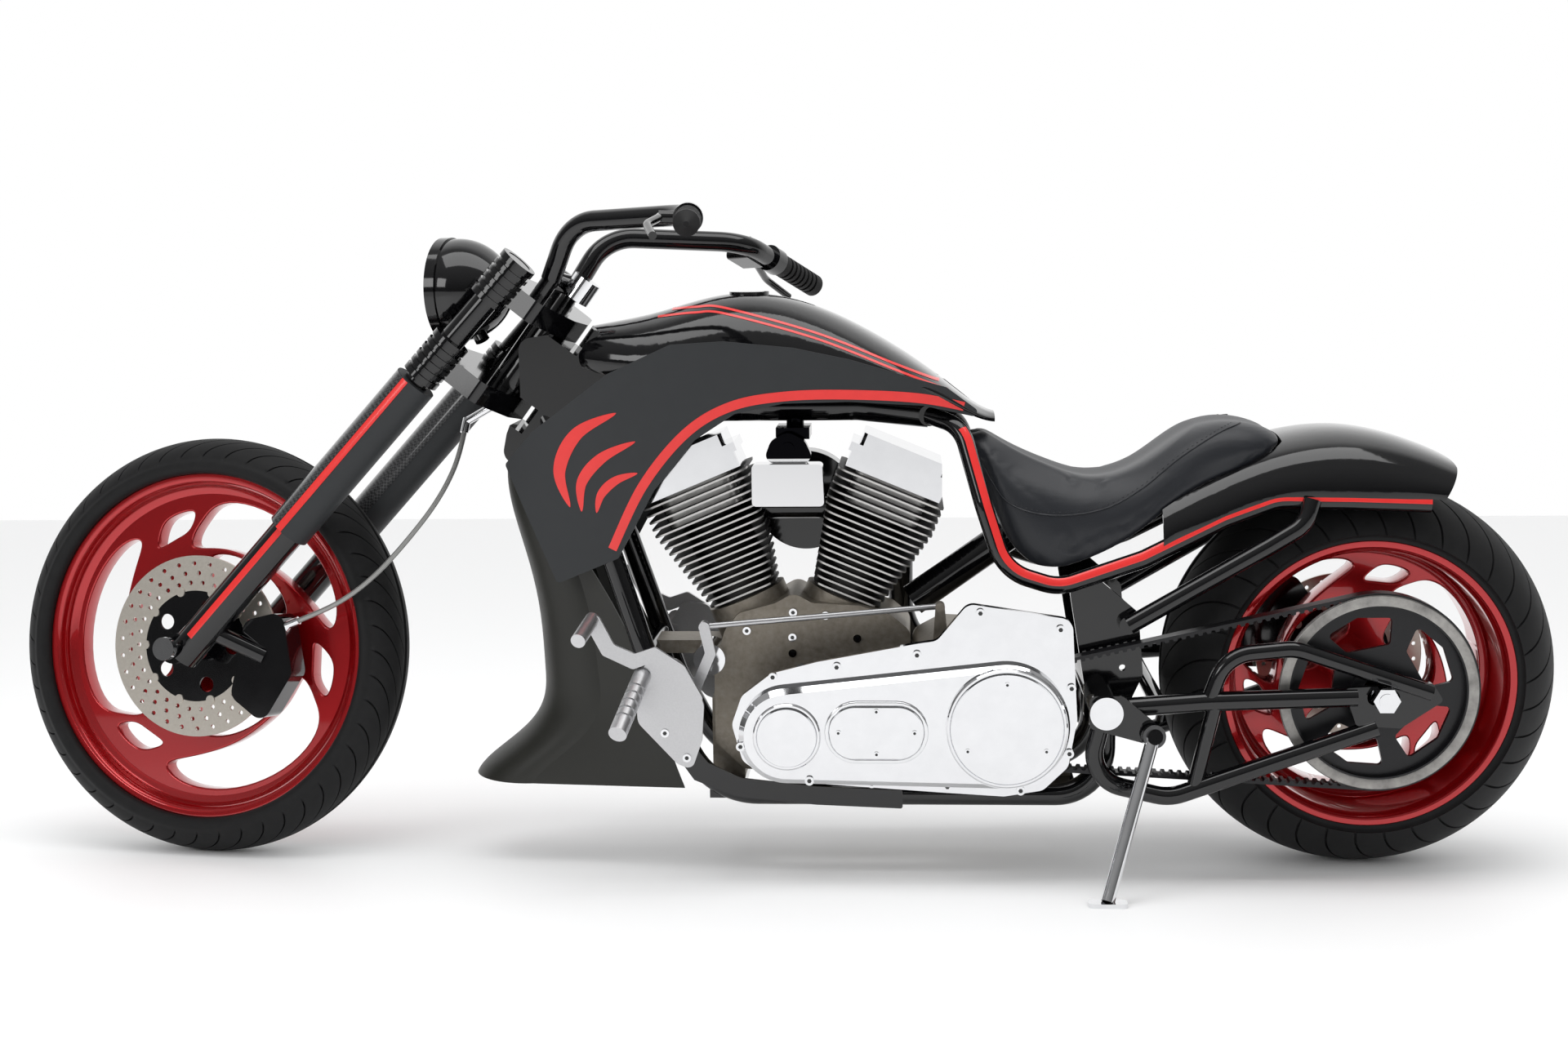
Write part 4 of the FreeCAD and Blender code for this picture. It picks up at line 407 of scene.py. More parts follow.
def bolt_heads(name, places, radius, proud):
    """Chrome socket caps at these places on the machine's left side, of this radius and height in metres.
    Each socket is a black hex disc of painted shade.
    """
    mesh = bpy.data.meshes.new(name + "_places")
    mesh.from_pydata([tuple(place) for place in places if place], [], [])
    holder = bpy.data.objects.new(name + "_places", mesh)
    bpy.context.scene.collection.objects.link(holder)
    setter = holder.modifiers.new("heads", "NODES")
    setter.node_group = bolt_nodes
    # The gloss black on the hex disc is painted shade in the socket.
    for label, value in (("Radius", radius), ("Depth", proud * 2), ("Along", -across), ("Finish", chrome),
                         ("Painted_Socket_Shade", gloss)):
        setter[bolt_inputs[label]] = value
    made = evaluated_mesh(holder)
    bpy.data.objects.remove(holder)
    return settle(name, made, None, "chassis")


def skin_of(mesh):
    """A mesh's skin, on which a ray can be laid."""
    return BVHTree.FromPolygons([vertex.co for vertex in mesh.vertices],
                                [tuple(face.vertices) for face in mesh.polygons])


def laid(skin, origin, way, lift):
    """Where a ray meets a skin, lifted off it."""
    spot, normal = skin.ray_cast(origin, way)[:2]
    if spot is None:
        return None
    return spot - normal * lift if normal.dot(way) > 0 else spot + normal * lift


beyond = 0.6
case_skin = skin_of(frame["nodes"]["crankcase"].data)
case_bolt_shares = [(0.680, 0.457), (0.679, 0.506), (0.680, 0.426), (0.602, 0.455), (0.640, 0.500),
                    (0.735, 0.470)]
case_bolts = [laid(case_skin, at(a, b, -beyond), across, 0.0) for a, b in case_bolt_shares]
bolt_heads("case_bolts", case_bolts, 0.007, 0.005)

# Cylinders: black barrels and heads whose fins are polished along their outer edges, under chrome rocker
# boxes. A fin's edge faces away from its cylinder's axis, and stands further out than the barrel.
barrel_reach = 0.058
edge_limit = 0.35
cylinder_lean = 22.5
polished_colour = (0.75, 0.74, 0.72)
for node_name, tilt in (("front_cylinder", -cylinder_lean), ("rear_cylinder", cylinder_lean)):
    fins = add_grain(finish("finned_" + node_name, (0.03, 0.028, 0.026), 0.4, 0.5), 0.01,
                     (0.010, 0.009, 0.008), (0.030, 0.027, 0.024), 0.4, 0.6, 0.0003)
    shader = fins.node_tree.nodes["Principled BSDF"]
    tilt = math.radians(tilt)
    axis = on_frame.to_3x3() @ Vector((math.sin(tilt), 0, math.cos(tilt)))
    facing = add_node(fins, "ShaderNodeTexCoord")
    dots = []
    for source, direction in (("Normal", axis), ("Object", across)):
        dot = add_node(fins, "ShaderNodeVectorMath", {"operation": "DOT_PRODUCT"})
        join(fins, facing.outputs[source], dot.inputs[0])
        dot.inputs[1].default_value = direction
        dots.append(dot.outputs["Value"])
    sideways = add_node(fins, "ShaderNodeMath", {"operation": "SUBTRACT"})
    join(fins, dots[1], sideways.inputs[0])
    sideways.inputs[1].default_value = on_frame.translation.dot(across)
    masks = []
    for value, edge, kind in ((dots[0], edge_limit, "LESS_THAN"),
                              (sideways.outputs[0], barrel_reach, "GREATER_THAN")):
        plain = add_node(fins, "ShaderNodeMath", {"operation": "ABSOLUTE"})
        join(fins, value, plain.inputs[0])
        mask = add_node(fins, "ShaderNodeMath", {"operation": kind})
        join(fins, plain.outputs[0], mask.inputs[0])
        mask.inputs[1].default_value = edge
        masks.append(mask.outputs[0])
    polished = add_node(fins, "ShaderNodeMath", {"operation": "MULTIPLY"})
    join(fins, masks[0], polished.inputs[0])
    join(fins, masks[1], polished.inputs[1])
    bright = add_node(fins, "ShaderNodeMix", {"data_type": "RGBA"})
    tint_colours(bright, (0, 0, 0), polished_colour)
    cast_colour = [socket for socket in bright.inputs if socket.type == "RGBA"][0]
    join(fins, shader.inputs["Base Color"].links[0].from_socket, cast_colour)
    join(fins, polished.outputs[0], bright.inputs["Factor"])
    join(fins, colour_of(bright), shader.inputs["Base Color"])
    shine = add_node(fins, "ShaderNodeMapRange", {}, To_Min=0.3, To_Max=1.0)
    join(fins, polished.outputs[0], shine.inputs["Value"])
    join(fins, shine.outputs["Result"], shader.inputs["Metallic"])
    dress(fins, node_name)
dress(chrome, "front_rocker_box", "rear_rocker_box")

# Coil block: a polished metal box between the cylinders, hung under the tank by a black bracket with the key
# switch. Both are one solid, so the two finishes part at a height.
coil_chrome = (0.8, 0.8, 0.81)
coil_black = (0.004, 0.004, 0.005)
coil_top = at(0.68, 0.808, -0.1)
coil_finish = finish("coil_block", coil_chrome, 1, 0.12)
upward = (on_frame.to_3x3() @ Vector((0, 0, 1))).normalized()
coil_place = add_node(coil_finish, "ShaderNodeTexCoord")
coil_height = add_node(coil_finish, "ShaderNodeVectorMath", {"operation": "DOT_PRODUCT"})
join(coil_finish, coil_place.outputs["Object"], coil_height.inputs[0])
coil_height.inputs[1].default_value = upward
above_coil = add_node(coil_finish, "ShaderNodeMath", {"operation": "GREATER_THAN"})
join(coil_finish, coil_height.outputs["Value"], above_coil.inputs[0])
above_coil.inputs[1].default_value = coil_top.dot(upward)
coil_tint = add_node(coil_finish, "ShaderNodeMix", {"data_type": "RGBA"})
tint_colours(coil_tint, coil_chrome, coil_black)
join(coil_finish, above_coil.outputs[0], coil_tint.inputs["Factor"])
join(coil_finish, colour_of(coil_tint), coil_finish.node_tree.nodes["Principled BSDF"].inputs["Base Color"])
dress(coil_finish, "coil_block")

# Primary cover: polished cast aluminium over the front pulley, belt and clutch, held by socket caps round
# its rim. Its clutch cover, front boss and oval inspection cover have rolled beads round them and caps of
# their own.
dress(chrome, "primary_cover")
dress(gloss, "inner_primary")
cover_face = -0.254
inspection_face = -0.250
derby_circle = 0.074
cover_middle = (0.54, 0.33)
clutch = (0.428, 0.321)
front_boss = (0.682, 0.303)
inspection = (0.578, 0.3125)
rim_bolt_shares = [(0.716, 0.420), (0.624, 0.430), (0.531, 0.453), (0.458, 0.532), (0.366, 0.501),
                   (0.353, 0.390), (0.355, 0.266), (0.411, 0.195), (0.496, 0.202), (0.584, 0.208),
                   (0.656, 0.220), (0.736, 0.283)]
inspection_bolt_shares = [(0.578, 0.353), (0.578, 0.272), (0.622, 0.3125), (0.534, 0.3125)]
inward_step = 0.025
primary_skin = skin_of(frame["nodes"]["primary_cover"].data)


def on_cover(share_along, share_up, inward):
    """A place on the cover's outer face, moved a part of the way in towards its middle."""
    a = cover_middle[0] + (share_along - cover_middle[0]) * (1 - inward)
    b = cover_middle[1] + (share_up - cover_middle[1]) * (1 - inward)
    return laid(primary_skin, at(a, b, -beyond), across, 0.0)


def inside_rim(share_along, share_up):
    """The first place on the way in where a cap's whole seat has the cover under it."""
    for step in range(8):
        spot = on_cover(share_along, share_up, step * inward_step)
        if spot and step:
            return on_cover(share_along, share_up, (step + 1) * inward_step) or spot
        if spot:
            return spot
    return None


bolt_heads("primary_bolts", [inside_rim(a, b) for a, b in rim_bolt_shares], 0.0075, 0.006)
derby_bolts = [at(clutch[0] - derby_circle * math.cos(turn) / span,
                  clutch[1] + derby_circle * math.sin(turn) / rise, cover_face)
               for turn in (math.radians(angle) for angle in (90, 210, 330))]
bolt_heads("derby_bolts", derby_bolts, 0.0048, 0.0012)
bolt_heads("inspection_bolts", [at(a, b, inspection_face) for a, b in inspection_bolt_shares], 0.0048, 0.0018)


def turned(name, hub, outline, made, body, slot, segments=96):
    """A ring turned about a wheel's axle. The outline gives radius and side offset, in millimetres."""
    points, faces = [], []
    count = len(outline)
    for i in range(segments):
        turn = 2 * math.pi * i / segments
        points += [hub @ (Vector((r * math.cos(turn), y, r * math.sin(turn))) / 1000) for r, y in outline]
        following = (i + 1) % segments * count
        faces += [(i * count + j, i * count + (j + 1) % count, following + (j + 1) % count, following + j)
                  for j in range(count)]
    return piece_from(name, points, faces, made, body)


def spots(radius, count, start=0.0):
    """Evenly spaced places on a circle."""
    turns = [2 * math.pi * (i + start) / count for i in range(count)]
    return [(radius * math.cos(turn), radius * math.sin(turn)) for turn in turns]


def circle(radius, centre=(0, 0), count=48):
    """A round outline, in millimetres."""
    return [(centre[0] + x, centre[1] + y) for x, y in spots(radius, count)]


def capsule(centre, half, radius, steps=14):
    """A slot's outline, in millimetres."""
    ends = []
    for sign in (1, -1):
        ends += [(centre[0] + sign * (half + radius * math.cos(turn)),
                  centre[1] + sign * radius * math.sin(turn))
                 for turn in (math.pi * (step / steps - 0.5) for step in range(steps + 1))]
    return ends


plate_turn = Matrix.Rotation(math.radians(90), 4, "X")


def pierced(name, loops, thick, seat, made, body, ease=0.3):
    """A flat plate of closed outlines, holes among them, in millimetres, with slightly eased edges."""
    flat = bpy.data.curves.new(name, "CURVE")
    flat.dimensions = "2D"
    flat.fill_mode = "BOTH"
    flat.extrude = thick / 2000 - ease / 1000
    flat.bevel_depth = ease / 1000
    flat.bevel_resolution = 2
    flat.offset = -ease / 1000
    for loop in loops:
        line = flat.splines.new("POLY")
        line.points.add(len(loop) - 1)
        for knot, (x, y) in zip(line.points, loop):
            knot.co = (x / 1000, y / 1000, 0, 1)
        line.use_cyclic_u = True
    holder = bpy.data.objects.new(name + "_flat", flat)
    bpy.context.scene.collection.objects.link(holder)
    mesh = evaluated_mesh(holder)
    mesh.transform(seat @ plate_turn)
    bpy.data.objects.remove(holder)
    return settle(name, mesh, made, body)


def from_hub(share_along, share_up):
    """A place on the frame's side, in millimetres from the rear axle."""
    return -share_along * span * 1000, (share_up * rise - hub_height) * 1000


bead_section = [(0, 0), (0, -3.2), (1.6, -5.0), (4.8, -5.0), (7.0, -3.0), (7.6, 0)]
for bead_name, centre, inner, face in (("clutch_bead", from_hub(*clutch), 92, -247.6),
                                       ("boss_bead", from_hub(*front_boss), 49, -241.6)):
    seat = on_frame @ Matrix.Translation((centre[0] / 1000, 0, centre[1] / 1000))
    turned(bead_name, seat, [(inner + r, face + y) for r, y in bead_section], chrome, "chassis", "chrome", 96)
oval_seat = on_frame @ Matrix.Translation((0, -0.2441, 0))
oval_middle = from_hub(*inspection)
oval_half = 33.5
pierced("oval_bead", [capsule(oval_middle, oval_half, 52), capsule(oval_middle, oval_half, 44.5)], 6.0,
        oval_seat, chrome, "chassis", 2.2)

# Foot controls: satin aluminium plates, levers and grooved pegs, machined and bolted to the frame ahead of
# the engine. Two low bolt heads show on the left plate.
satin = add_grain(finish("satin_aluminium", (0.6, 0.6, 0.61), 1, 0.35), 0.003, (0.52, 0.52, 0.53),
                  (0.64, 0.64, 0.65), 0.3, 0.42, 0.0)
dress(satin, "left_foot_control", "right_foot_control")
control_skin = skin_of(frame["nodes"]["left_foot_control"].data)
plate_bolt_shares = [(0.822, 0.315), (0.797, 0.268)]
plate_bolts = [laid(control_skin, at(a, b, -beyond), across, 0.0) for a, b in plate_bolt_shares]
bolt_heads("foot_plate_bolts", plate_bolts, 0.007, 0.002)

# Belt drive: a toothed rubber belt between two black anodised pulleys. The rear one's outer edge is worn
# bright.
anodised = add_grain(finish("black_anodised", (0.008, 0.008, 0.009), 0.3, 0.3), 0.01, (0.006, 0.006, 0.007),
                     (0.012, 0.012, 0.014), 0.24, 0.38, 0.0)
dress(anodised, "rear_pulley", "front_pulley", "drive_belt")
worn_edge = add_grain(finish("worn_edge", (0.3, 0.29, 0.27), 0.8, 0.35), 0.03, (0.02, 0.02, 0.022),
                      (0.62, 0.6, 0.57), 0.3, 0.5, 0.0001, 8.0)
edge_section = [(145.0, -199.4), (147.0, -200.0), (160.5, -200.0), (162.3, -198.6), (162.3, -194.0),
                (145.0, -199.2)]
turned("pulley_edge", on_frame, edge_section, worn_edge, "rear_wheel", "disc_steel", 128)

# Wheels: cast in one with three swirling arms, whose large and small openings have soft edges, and a turned
# rim with rolled lips and a step down to the arms. Candy red over a bright base.
candy = add_grain(finish("candy_red", (0.5, 0.008, 0.012), 0.7, 0.26, 1.0), 0.0008, (0.34, 0.003, 0.006),
                  (0.50, 0.006, 0.010), 0.20, 0.26, 0.0)
large_window = [(0.75, -111), (0.83, -102), (0.848, -70), (0.835, -37), (0.72, -24), (0.585, -18),
                (0.565, -40), (0.575, -64), (0.64, -93)]
small_window = [(0.66, 1), (0.72, -1), (0.785, -8), (0.79, -20), (0.72, -19), (0.67, -13)]
inner_window = [(0.29, -98), (0.40, -103), (0.52, -96), (0.535, -64), (0.52, -31), (0.40, -27), (0.29, -34),
                (0.265, -66)]
rim_lip = 12
rim_well = 20
rim_step = 37
arm_edge = 3.0
wheel_bore = 13.2


def smooth_line(knots, per_run):
    """Places on a smooth line through the knots, which may have any count of numbers."""
    line = []
    for i in range(len(knots) - 1):
        a, b = knots[max(i - 1, 0)], knots[i]
        c, d = knots[i + 1], knots[min(i + 2, len(knots) - 1)]
        for step in range(per_run):
            t = step / per_run
            line.append(tuple(0.5 * (2 * q + (r - p) * t + (2 * p - 5 * q + 4 * r - s) * t * t
                                     + (3 * q - p - 3 * r + s) * t ** 3) for p, q, r, s in zip(a, b, c, d)))
    return line + [tuple(knots[-1])]


def smooth_ring(knots, per_run):
    """A smooth closed line through the knots."""
    line = smooth_line([knots[-1]] + knots + knots[:2], per_run)
    return line[per_run:per_run * (len(knots) + 1)]


def window_outline(knots, radius, turn):
    """An opening's outline, from shares of the rim's radius and angles, turned about the axle."""
    return [(radius * r * math.cos(math.radians(a + turn)), radius * r * math.sin(math.radians(a + turn)))
            for r, a in smooth_ring(knots, 8)]


def as_one(name, pieces, body, smooth=35):
    """Joins pieces into one, which keeps the first one's finish."""
    whole = bmesh.new()
    for piece in pieces:
        whole.from_mesh(piece.data)
    mesh = bpy.data.meshes.new(name)
    whole.to_mesh(mesh)
    whole.free()
    made = pieces[0].data.materials[0]
    for piece in pieces:
        bpy.data.objects.remove(piece)
    return settle(name, mesh, made, body, smooth)


def cast_wheel(name, hub, body, radius, width, spoke, hub_width, offset):
    """A wheel of this rim radius and width, arm thickness and hub width, turned by the offset."""
    half, arm = width / 2, spoke / 2
    lip, well, step = radius - rim_lip, radius - rim_well, radius - rim_step
    side = [(radius, half - 5), (radius, half - 1.2), (radius - 1.2, half), (lip + 3, half),
            (lip, half - 0.8), (lip - 2.5, half - 4), (well + 1, half - 10), (well, half - 16),
            (well - 1, arm + 9), (well - 5, arm + 3.5), (step + 3, arm + 1.2), (step, arm - 1)]
    outline = side + [(r, -y) for r, y in reversed(side)] + [(lip, 5 - half), (lip, half - 5)]
    barrel = turned(name + "_barrel", hub, outline, candy, body, "red_rim", 144)
    holes = [window_outline(knots, radius, offset + 120 * turn) for turn in range(3)
             for knots in (large_window, small_window, inner_window)]
    web = pierced(name + "_web", [circle(well + 2, count=144)] + holes, spoke, hub, candy, body,
                  arm_edge)
    end = hub_width / 2
    boss_section = [(44, 4 - end), (40, -end), (wheel_bore, -end), (wheel_bore, end), (40, end),
                    (44, end - 4)]
    boss = turned(name + "_hub", hub, boss_section, candy, body, "red_rim", 64)
    wheel = as_one(name + "_cast", [barrel, web, boss], body, 40)
    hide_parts(name)


cast_wheel("front_rim", on_fork, "front_wheel", 306, 92, 34, 120, 0)
cast_wheel("rear_rim", on_frame, "rear_wheel", 242.5, 262, 60, 210, -35)

# Tyres: moulded rubber with slanting grooves cut into each side of the tread, staggered from side to side,
# and fine ribs round the sidewalls.
rubber = add_grain(finish("tyre_rubber", (0.01, 0.01, 0.0105), 0, 0.6), 0.02, (0.006, 0.006, 0.0065),
                   (0.014, 0.014, 0.0145), 0.5, 0.66, 0.0003)
rubber.node_tree.nodes["Principled BSDF"].inputs["Specular IOR Level"].default_value = 0.2
crown_share = 0.93
crown_rows = 32
wall_rows = 14
rib_rows = (3, 5, 11)
rib_height = 0.5
groove_depth = 5.0
groove_cuts = (0.0, 0.02, 0.045, 0.075, 0.1, 0.3, 0.5, 0.52, 0.545, 0.575, 0.6, 0.8)
groove_columns = {-1: (2, 3), 1: (8, 9)}


def arc_through(a, b, c, count):
    """Places on the arc through three places, from the first to the last."""
    a, b, c = Vector(a), Vector(b), Vector(c)
    u, v = b - a, c - a
    area = 2 * (u.x * v.y - u.y * v.x)
    middle = a + Vector((v.y * u.dot(u) - u.y * v.dot(v), u.x * v.dot(v) - v.x * u.dot(u))) / area
    radius = (a - middle).length
    start = math.atan2(a.y - middle.y, a.x - middle.x)
    sweep = (math.atan2(c.y - middle.y, c.x - middle.x) - start + math.pi) % (2 * math.pi) - math.pi
    return [(middle.x + radius * math.cos(start + sweep * i / count),
             middle.y + radius * math.sin(start + sweep * i / count)) for i in range(count + 1)]


def tyre(name, hub, body, radius, width, crown, rim_radius, rim_width, grooves, flow_deg, band):
    """A tyre of this size, whose grooves lean by the flow and lie within a band of each half of the tread."""
    half = width / 2
    drop = radius - crown
    edge_turn = math.asin(crown_share * half / crown)
    edge = (drop + crown * math.cos(edge_turn), crown_share * half)
    wall = arc_through(edge, ((edge[0] + rim_radius) / 2, half), (rim_radius + 0.3, rim_width / 2), wall_rows)
    wall = [(r, y + (rib_height if i in rib_rows else 0)) for i, (r, y) in enumerate(wall)]
    bead = [(rim_radius + 0.3, rim_width / 2 - 5), (rim_radius - rim_lip, rim_width / 2 - 5)]
    side_rows = wall + bead
    rows = [(r, -y, 0, 0, 0) for r, y in reversed(side_rows[1:])]
    for i in range(crown_rows + 1):
        turn = edge_turn * (2 * i / crown_rows - 1)
        offset = crown * math.sin(turn)
        share = min(max((abs(offset) / half - band[0]) / (band[1] - band[0]), 0), 1)
        cut = groove_depth * min(1, 8 * share, 8 * (1 - share))
        rows.append((drop + crown * math.cos(turn), offset, cut * math.cos(turn), cut * math.sin(turn),
                     offset / half))
    rows += [(r, y, 0, 0, 0) for r, y in side_rows[1:]]
    points, faces = [], []
    count = len(rows)
    columns = [(groove + cut, i) for groove in range(grooves) for i, cut in enumerate(groove_cuts)]
    for groove, i in columns:
        for r, y, down, inward, share in rows:
            lean = math.radians(flow_deg) * (1 - min(abs(share or 1), 1)) ** 1.6
            turn = 2 * math.pi * groove / grooves + lean
            if i in groove_columns[1 if y > 0 else -1]:
                r, y = r - down, y - inward
            points.append(hub @ (Vector((r * math.cos(turn), y, r * math.sin(turn))) / 1000))
    for i in range(len(columns)):
        low, high = i * count, (i + 1) % len(columns) * count
        faces += [(low + j, low + j + 1, high + j + 1, high + j) for j in range(count - 1)]
    piece = piece_from(name + "_tread", points, faces, rubber, body, 50)
    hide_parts(name)


tyre("front_tyre", on_fork, "front_wheel", 370, 130, 66, 306, 92, 48, -20, (0.12, 0.93))
tyre("rear_tyre", on_frame, "rear_wheel", 333, 300, 162, 242.5, 262, 34, 26, (0.15, 0.95))

# Brake discs: a satin steel band with three rows of holes, on a black carrier held by ten bright buttons.
# The calipers that grip them are painted gloss black.
dress(gloss, "front_caliper", "rear_caliper")
steel = add_grain(finish("disc_steel", (0.6, 0.56, 0.5), 0.9, 0.32), 0.004, (0.52, 0.48, 0.42),
                  (0.64, 0.6, 0.54), 0.28, 0.4, 0.0)
drawn_radius = 160
hole_rows = (112, 129, 146)
holes_per_row = 30
carrier_bore = 26


def brake_disc(name, hub, body, radius, middle, hub_face):
    """A disc of this radius, in its plane beside the wheel, whose carrier's boss reaches the hub's face."""
    share = radius / drawn_radius
    seat = hub @ Matrix.Translation((0, middle / 1000, 0))
    holes = [circle(4 * share, spot, 12) for row, r in enumerate(hole_rows)
             for spot in spots(r * share, holes_per_row, row / 3)]
    edges = [circle(radius, count=96), circle(98 * share, count=72)]
    band = pierced(name + "_band", edges + holes, 6.0, seat, steel, body)
    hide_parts(name)
    windows = [circle(13.6 * share, spot, 24) for spot in spots(71 * share, 5)]
    pierced(name + "_carrier", [circle(100 * share), circle(carrier_bore)] + windows, 5.0, seat, gloss, body)
    buttons = [circle(8 * share, spot, 20) for spot in spots(99 * share, 10)]
    pierced(name + "_buttons", buttons, 10.0, seat, steel, body)
    boss_section = [(52 * share, hub_face), (52 * share, middle), (carrier_bore + 0.4, middle),
                    (carrier_bore + 0.4, hub_face)]
    turned(name + "_boss", hub, boss_section, gloss, body, "disc_steel", 64)


brake_disc("front_disc", on_fork, "front_wheel", 160, -69, -60)
brake_disc("rear_disc", on_frame, "rear_wheel", 146, 131, 105)

# Fork: black sliders and trees, with carbon cloth under lacquer on the front half of the long covers, and a
# red line down the outside of each leg to the axle.
dress(gloss, "fork_sliders", "lower_tree", "upper_tree")
dress(chrome, "front_axle")
charcoal = add_grain(finish("matte_charcoal", (0.035, 0.038, 0.04), 0, 0.5), 0.03, (0.024, 0.026, 0.028),
                     (0.029, 0.031, 0.033), 0.46, 0.54, 0.0)
charcoal.node_tree.nodes["Principled BSDF"].inputs["Specular IOR Level"].default_value = 0.3
dress(charcoal, "fork_covers")
fork_lean = math.radians(42.5)
leg_foot = 0.014
leg_aside = 0.127
cover_ends = (0.2926, 0.6345)
slider_ends = (0.04, 0.291)
cover_skin = 0.0375
stripe_skin = 0.0377
slider_skin = 0.0304
twill = finish("carbon_twill", (0.03, 0.03, 0.032), 0.2, 0.3, 1.0)
weave_place = add_node(twill, "ShaderNodeTexCoord")
weave_turn = add_node(twill, "ShaderNodeMapping", {}, Rotation=(0, fork_lean, 0))
weave = add_node(twill, "ShaderNodeTexChecker", {}, Scale=250, Color1=(0.010, 0.010, 0.011, 1),
                 Color2=(0.055, 0.056, 0.058, 1))
join(twill, weave_place.outputs["Object"], weave_turn.inputs["Vector"])
join(twill, weave_turn.outputs["Vector"], weave.inputs["Vector"])
join(twill, weave.outputs["Color"], twill.node_tree.nodes["Principled BSDF"].inputs["Base Color"])
ahead_of_fork = on_fork.to_3x3() @ Vector((-math.cos(fork_lean), 0, math.sin(fork_lean)))


def on_leg(up_leg, aside):
    """A place on a fork leg's middle line, in metres up the leg."""
    return on_fork @ Vector((leg_foot * math.cos(fork_lean) + up_leg * math.sin(fork_lean), aside,
                             up_leg * math.cos(fork_lean) - leg_foot * math.sin(fork_lean)))


def leg_line(ends, aside, runs):
    """A line up a leg between two heights."""
    return [on_leg(ends[0] + (ends[1] - ends[0]) * i / runs, aside) for i in range(runs + 1)]


for side_name, sign in both_sides:
    cover_line = leg_line(cover_ends, sign * leg_aside, 12)
    slider_line = leg_line(slider_ends, sign * leg_aside, 8)
    band_round("fork_carbon_" + side_name, cover_line, cover_skin, ahead_of_fork, sign * 100, sign * -75,
               twill, "fork", 24)
    band_round("fork_stripe_" + side_name, cover_line, stripe_skin, ahead_of_fork, sign * -76, sign * -96,
               stripe, "fork")
    band_round("slider_stripe_" + side_name, slider_line, slider_skin, ahead_of_fork, sign * -76,
               sign * -98, stripe, "fork")

# Front brake hose: a braided steel line in a clear sleeve, from the lower fork tree down behind the leg to
# the caliper. Its points are those of the solid, in millimetres from the front axle.
hose_diameter = 0.009
hose_points = [(478, -8, 380), (474, -20, 338), (460, -34, 292), (438, -47, 248), (408, -58, 205),
               (374, -68, 162), (338, -76, 124), (298, -82, 92), (254, -86, 68), (208, -88, 50)]


def route(name, points, diameter):
    """A round cord whose smooth line has these places as its control points."""
    curve = bpy.data.curves.new(name, "CURVE")
    curve.dimensions = "3D"
    line = curve.splines.new("NURBS")
    line.points.add(len(points) - 1)
    for knot, place in zip(line.points, points):
        knot.co = (*place, 1)
    line.order_u = 3
    line.use_endpoint_u = True
    line.resolution_u = 12
    curve.bevel_depth = diameter / 2
    curve.bevel_resolution = 4
    piece = bpy.data.objects.new(name, curve)
    bpy.context.scene.collection.objects.link(piece)
    return piece


hose_places = [on_fork @ (Vector(point) / 1000) for point in hose_points]
hose = route("brake_hose_line", hose_places, hose_diameter)
braid = finish("hose_braid", (0.32, 0.32, 0.31), 0.7, 0.42)
hose.data.materials.append(braid)
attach(hose, "fork")
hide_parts("brake_hose")
dress(chrome, "hose_fittings")

# Handlebar and headlamp: a bent black tube with ribbed rubber grips and black levers, a chrome gauge, and a
# black lamp shell with a clear lens.
dress(gloss, "handlebar", "hand_controls", "headlight")
dress(rubber, "grips")
dress(chrome, "gauge")
glass = finish("lamp_glass", (0.9, 0.92, 0.95), 0, 0.03)
glass.node_tree.nodes["Principled BSDF"].inputs["Transmission Weight"].default_value = 1.0
dress(glass, "headlight_lens")

# Tank and panels: a gloss black tank under matte charcoal side panels. A red band follows each panel's
# lower edge, three plain crescents stand near its front corner, and a double red bead runs along the tank's
# shoulder.
dress(gloss, "tank_shell", "fuel_cap")
dress(charcoal, "tank_panel_left", "tank_panel_right")
band_lift = 0.0006
band_knots = [(0.890, 0.640, 0.015), (0.852, 0.762, 0.016), (0.801, 0.860, 0.016), (0.748, 0.911, 0.016),
              (0.685, 0.930, 0.016), (0.609, 0.932, 0.016), (0.523, 0.921, 0.016), (0.452, 0.893, 0.014)]
crescents = [[(0.940, 0.720), (0.952, 0.790), (0.930, 0.860), (0.882, 0.900)],
             [(0.926, 0.712), (0.925, 0.768), (0.900, 0.815), (0.860, 0.846)],
             [(0.908, 0.710), (0.902, 0.745), (0.884, 0.772), (0.858, 0.786)]]
crescent_width = 0.023
crescent_step = 0.004
crescent_tip = 0.0006
bead_knots = [(0.838, 1.086), (0.793, 1.094), (0.754, 1.092), (0.648, 1.046), (0.552, 0.984), (0.494, 0.945)]
bead_width = 0.0035
bead_drops = (0.0, 0.010)
panel_skins = {sign: skin_of(frame["nodes"]["tank_panel_" + side_name].data)
               for side_name, sign in both_sides}
tank_skin = skin_of(frame["nodes"]["tank_shell"].data)


def laid_band(name, skin, line, sign, columns=4):
    """A red band on a panel's side. The line gives shares along and up, and the band's width."""
    points, faces, rows = [], [], 0
    wide = columns + 1
    for i, (share_along, share_up, width) in enumerate(line):
        before, after = line[max(i - 1, 0)], line[min(i + 1, len(line) - 1)]
        run = Vector(((before[0] - after[0]) * span, 0, (after[1] - before[1]) * rise)).normalized()
        aside = Vector((-run.z, 0, run.x)) * width
        spot = Vector((-share_along * span, sign * beyond, share_up * rise - hub_height))
        row = [laid(skin, on_frame @ (spot + aside * (j / columns - 0.5)), across * -sign, band_lift)
               for j in range(wide)]
        if any(place is None for place in row):
            continue
        points += row
        if rows:
            faces += rows_of_faces((rows - 1) * wide, wide)
        rows += 1
    return piece_from(name, points, faces, stripe, "chassis", facing=across * sign)


